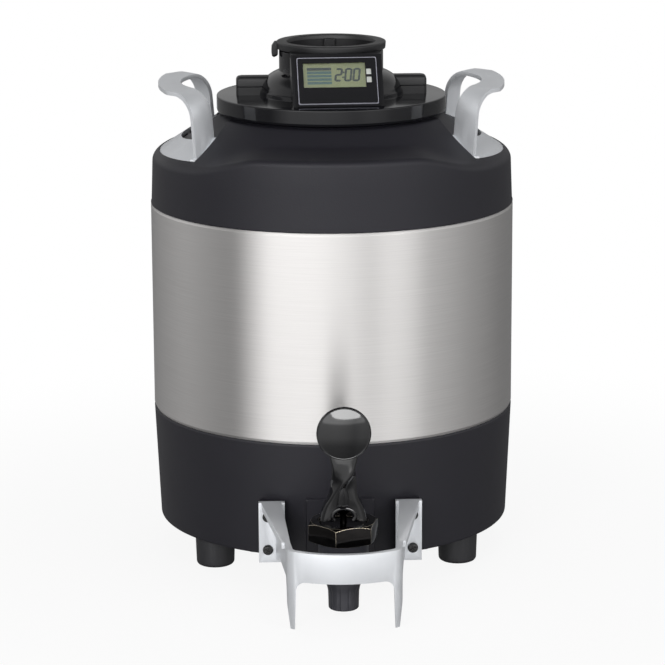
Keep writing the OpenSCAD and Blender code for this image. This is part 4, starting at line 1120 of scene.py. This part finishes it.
# Funnel: a turned cup with a flat lip, a hooked lift tab and a rib inside the back
funnelShape = {
    "rim": 34.6, "rimLow": 321.5, "top": 326.1, "inside": 27.6, "wall": 29.9, "floor": 300.4, "throat": 7.0,
    "outlet": 286.7, "bore": 4.9,
}


def funnelMesh(d):
    rim, low, top, inside, wall = d["rim"], d["rimLow"], d["top"], d["inside"], d["wall"]
    floor, throat, outlet, bore = d["floor"], d["throat"], d["outlet"], d["bore"]
    corners = [
        (throat, outlet, 0.3), (throat, floor - 4.2, 0.5), (wall, floor - 1.2, 0.8), (wall, low - 0.4, 0.4),
        (rim - 0.4, low, 0.5), (rim, top, 1.1), (inside + 0.6, top, 0.9), (inside, top - 2.4, 0.6),
        (inside, floor + 2.4, 1.2), (bore, floor - 1.8, 0.5), (bore, outlet, 0.2),
    ]
    return turned(inMetres(corners), bodyAxis, 192)


def tabMesh():
    out = -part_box("brew_funnel")[0].x / mm - 1.3
    path = [  # distance from the axis, height, half thickness and half width
        (32.5, 324.4, 1.5, 4.2), (out - 2.7, 324.1, 1.8, 4.2), (out - 1.9, 322.5, 2.0, 4.2),
        (out - 1.8, 320.2, 2.0, 4.2), (out - 1.8, 318.4, 2.0, 4.2), (out - 1.9, 317.3, 1.8, 4.2),
        (out - 2.2, 316.6, 1.1, 3.4),
    ]
    rings = []
    for k, (x, z, thick, half) in enumerate(path):
        after, before = path[min(k + 1, len(path) - 1)], path[max(k - 1, 0)]
        run = Vector((after[0] - x, after[1] - z)) + Vector((x - before[0], z - before[1]))
        run.normalize()
        ring = []
        for across, y in roundedOutline(thick, half, 0.65):
            ring.append(bodyAxis + Vector((-(x - run.y * across), y, z + run.x * across)) * mm)
        rings.append(ring)
    return skinned(rings, 50)


def innerRibMesh(d):
    rings = []
    for z, half in ((d["floor"] + 1, 3.6), (d["top"] - 3.2, 3.6), (d["top"] - 2.2, 3.0)):
        ring = roundedOutline(half, 1.9, 0.8)
        rings.append([bodyAxis + Vector((x, d["inside"] - 0.9 + y, z)) * mm for x, y in ring])
    return skinned(rings)


keep("brewFunnel", funnelMesh(funnelShape), "funnel", "lid_matte", "brew_funnel")
keep("funnelTab", tabMesh(), "funnel", "lid_matte")
keep("funnelRib", innerRibMesh(funnelShape), "funnel", "lid_matte")
print("lid and funnel built")

# Display: everything lies on a face that leans back, measured across and up it, and into it
displayFace = {
    "foot": (-0.0575, 0.2929), "lean": 36, "turn": 2.7, "window": (48.8, 31.8, 17.7),
    "lcd": (38.4, 16.8, -1.7, 21.6), "lights": (19.6, 3.2, (18.4, 24.0), 4.2), "maskAt": -0.22, "lcdAt": 0.75,
    "ink": (0.07, 0.01), "barEnds": (16.8, 1.8), "lightDeep": (0.6, 3.2), "lightGap": 0.1,
}
displayEdges = {"display_board": 0.2, "battery_cell": 0.3, "display_housing": 0.8}
inkBars = {  # height from the panel's middle, and thickness
    "lcd_ink": ((4.6, 1.9),),
    "lcd_teal": ((2.2, 1.9), (-0.2, 1.8), (-2.6, 1.8), (-5.0, 1.8)),
}
strokes = {
    "top": ((0.6, 4.0), (2.8, 4.0)), "middle": ((0.6, 0), (2.8, 0)), "bottom": ((0.6, -4.0), (2.8, -4.0)),
    "upperLeft": ((0, 3.6), (0, 0.4)), "upperRight": ((3.4, 3.6), (3.4, 0.4)),
    "lowerLeft": ((0, -0.4), (0, -3.6)), "lowerRight": ((3.4, -0.4), (3.4, -3.6)),
}
reading = {
    "digits": ((0.9, "two"), (6.9, "nought"), (12.0, "nought")), "up": 0.5, "stroke": 0.66, "slant": 0.14,
    "dotsAt": 5.55, "dotsUp": 1.7, "dot": (0.5, 0.55),
}
digits = {
    "two": ("top", "upperRight", "middle", "lowerLeft", "bottom"),
    "nought": ("top", "upperLeft", "upperRight", "lowerLeft", "lowerRight", "bottom"),
}
faceTurn = Matrix.Rotation(radians(displayFace["turn"]), 4, "Z")
faceTurn = Matrix.Translation(bodyAxis) @ faceTurn @ Matrix.Translation(-bodyAxis)


def onFace(d, across, up, deep):
    lean = radians(d["lean"])
    y = d["foot"][0] + (up * sin(lean) + deep * cos(lean)) * mm
    z = d["foot"][1] + (up * cos(lean) - deep * sin(lean)) * mm
    return faceTurn @ Vector((across * mm, axisY + y, z))


def slab(bm, d, outline, near, far):
    front, back = ([bm.verts.new(onFace(d, x, v, deep)) for x, v in outline] for deep in (near, far))
    bridge(bm, front, back)


def inkSlab(bm, d, outline):
    slab(bm, d, outline, d["lcdAt"] - d["ink"][0], d["lcdAt"] - d["ink"][1])


def oneSlab(d, middle, half, corner, near, far):
    bm = bmesh.new()
    outline = [(middle[0] + x, middle[1] + v) for x, v in roundedOutline(*half, corner)]
    slab(bm, d, outline, near, far)
    return smoothMesh(bm)


def rimMesh(d, grow, section, corner):
    wide, tall, mid = d["window"]
    bm = bmesh.new()
    rings = []
    for inset, deep in section:
        line = roundedOutline(wide / 2 + grow - inset, tall / 2 + grow - inset, corner)
        rings.append([bm.verts.new(onFace(d, x, mid + v, deep)) for x, v in line])
    weave(bm, rings)
    return smoothMesh(bm, 50)


def maskMesh(d):
    wide, tall, mid = d["window"]
    lcdW, lcdH, lcdX, lcdMid = d["lcd"]
    lightX, lightW, lightMids, lightH = d["lights"]
    across = [-wide / 2, lcdX - lcdW / 2, lcdX + lcdW / 2]
    across += [lightX - lightW / 2, lightX + lightW / 2, wide / 2]
    levels = [mid - tall / 2, lcdMid - lcdH / 2, lcdMid + lcdH / 2, mid + tall / 2]
    levels = sorted(levels + [m + half for m in lightMids for half in (-lightH / 2, lightH / 2)])
    bm = bmesh.new()
    for x0, x1 in zip(across, across[1:]):
        for v0, v1 in zip(levels, levels[1:]):
            x, v = (x0 + x1) / 2, (v0 + v1) / 2
            inLcd = abs(x - lcdX) < lcdW / 2 and abs(v - lcdMid) < lcdH / 2
            inLight = abs(x - lightX) < lightW / 2 and min(abs(v - m) for m in lightMids) < lightH / 2
            if not inLcd and not inLight:
                slab(bm, d, oblong(x0, x1, v0, v1), d["maskAt"], d["maskAt"] + 0.1)
    return smoothMesh(bm)


def barMesh(d, finish):
    bm = bmesh.new()
    x, middle = d["lcd"][2:]
    left, right = d["barEnds"]
    for up, thick in inkBars[finish]:
        v = middle + up
        inkSlab(bm, d, oblong(x - left, x - right, v - thick / 2, v + thick / 2))
    return smoothMesh(bm)


def digitMesh(d, shown):
    bm = bmesh.new()
    startX, midV = d["lcd"][2], d["lcd"][3] + shown["up"]
    half, slant = shown["stroke"], shown["slant"]
    for start, digit in shown["digits"]:
        for stroke in digits[digit]:
            p0, p1 = (Vector(q) for q in strokes[stroke])
            run = (p1 - p0).normalized()
            side = Vector((-run.y, run.x)) * half
            shape = [p0 - run * half, p0 - side, p1 - side, p1 + run * half, p1 + side, p0 + side]
            inkSlab(bm, d, [(startX + start + q.x + slant * q.y, midV + q.y) for q in shape])
    wide, tall = shown["dot"]
    for v in (-shown["dotsUp"], shown["dotsUp"]):
        x = startX + shown["dotsAt"] + slant * v
        inkSlab(bm, d, oblong(x - wide, x + wide, midV + v - tall, midV + v + tall))
    return smoothMesh(bm)


def lightMesh(d):
    bm = bmesh.new()
    x, wide, mids, tall = d["lights"]
    outline = roundedOutline(wide / 2 - d["lightGap"], tall / 2 - d["lightGap"], 0.3)
    for v in mids:
        slab(bm, d, [(x + dx, v + dv) for dx, dv in outline], *d["lightDeep"])
    return smoothMesh(bm)


for node, width in displayEdges.items():
    mesh = softened(node, width * mm)
    mesh.transform(faceTurn)
    keep(pieceName(node), mesh, "lid", slotOf[node], node)
windowW, windowH, windowMid = displayFace["window"]
half = (windowW / 2 - 0.4, windowH / 2 - 0.4)
glass = oneSlab(displayFace, (0, windowMid), half, 0.8, -0.1, 0.5)
keep("displayWindow", glass, "lid", "window_clear", "display_window")
lcdW, lcdH, *lcdMiddle = displayFace["lcd"]
half = (lcdW / 2 + 0.4, lcdH / 2 + 0.4)
plate = oneSlab(displayFace, lcdMiddle, half, 0.3, displayFace["lcdAt"], 3.6)
keep("lcdPlate", plate, "lid", "lcd_green", "lcd_panel")
keep("indicatorLights", lightMesh(displayFace), "lid", "light_white", "indicator_lights")
# a thin raised ridge round the window, coloured pale lilac as a painted highlight on its edges
ridge = [(0, 0.2), (0.15, -0.42), (0.55, -0.42), (0.75, 0.2)]
keep("windowRim", rimMesh(displayFace, 0.35, ridge, 1.0), "lid", "window_edge")
step = [(0, 0.3), (0.3, -0.25), (1.3, -0.25), (1.6, 0.3)]
keep("windowStep", rimMesh(displayFace, 2.2, step, 1.6), "lid", "lid_gloss")
keep("displayMask", maskMesh(displayFace), "lid", "lid_gloss")
keep("displayBars", barMesh(displayFace, "lcd_teal"), "lid", "lcd_teal")
keep("displayTopBar", barMesh(displayFace, "lcd_ink"), "lid", "lcd_ink")
keep("displayDigits", digitMesh(displayFace, reading), "lid", "lcd_ink")
print("display dressed")

# Glints on the tap alone
glintLamp = {
    "at": (0.48, -1.72, 0.84), "size": (2.5, 0.62), "power": 36,
    "pieces": ("tapKnob", "tapLever", "leverHood", "leverRib", "tapBonnet"),
}


def setGlint(d):
    lamp = areaLamp("glintLamp", d, pivot)
    lamp.visible_diffuse = False
    lit = bpy.data.collections.new("glintPieces")
    for name in d["pieces"]:
        lit.objects.link(bpy.data.objects[name])
    lamp.light_linking.receiver_collection = lit


setGlint(glintLamp)
print("tap lit")
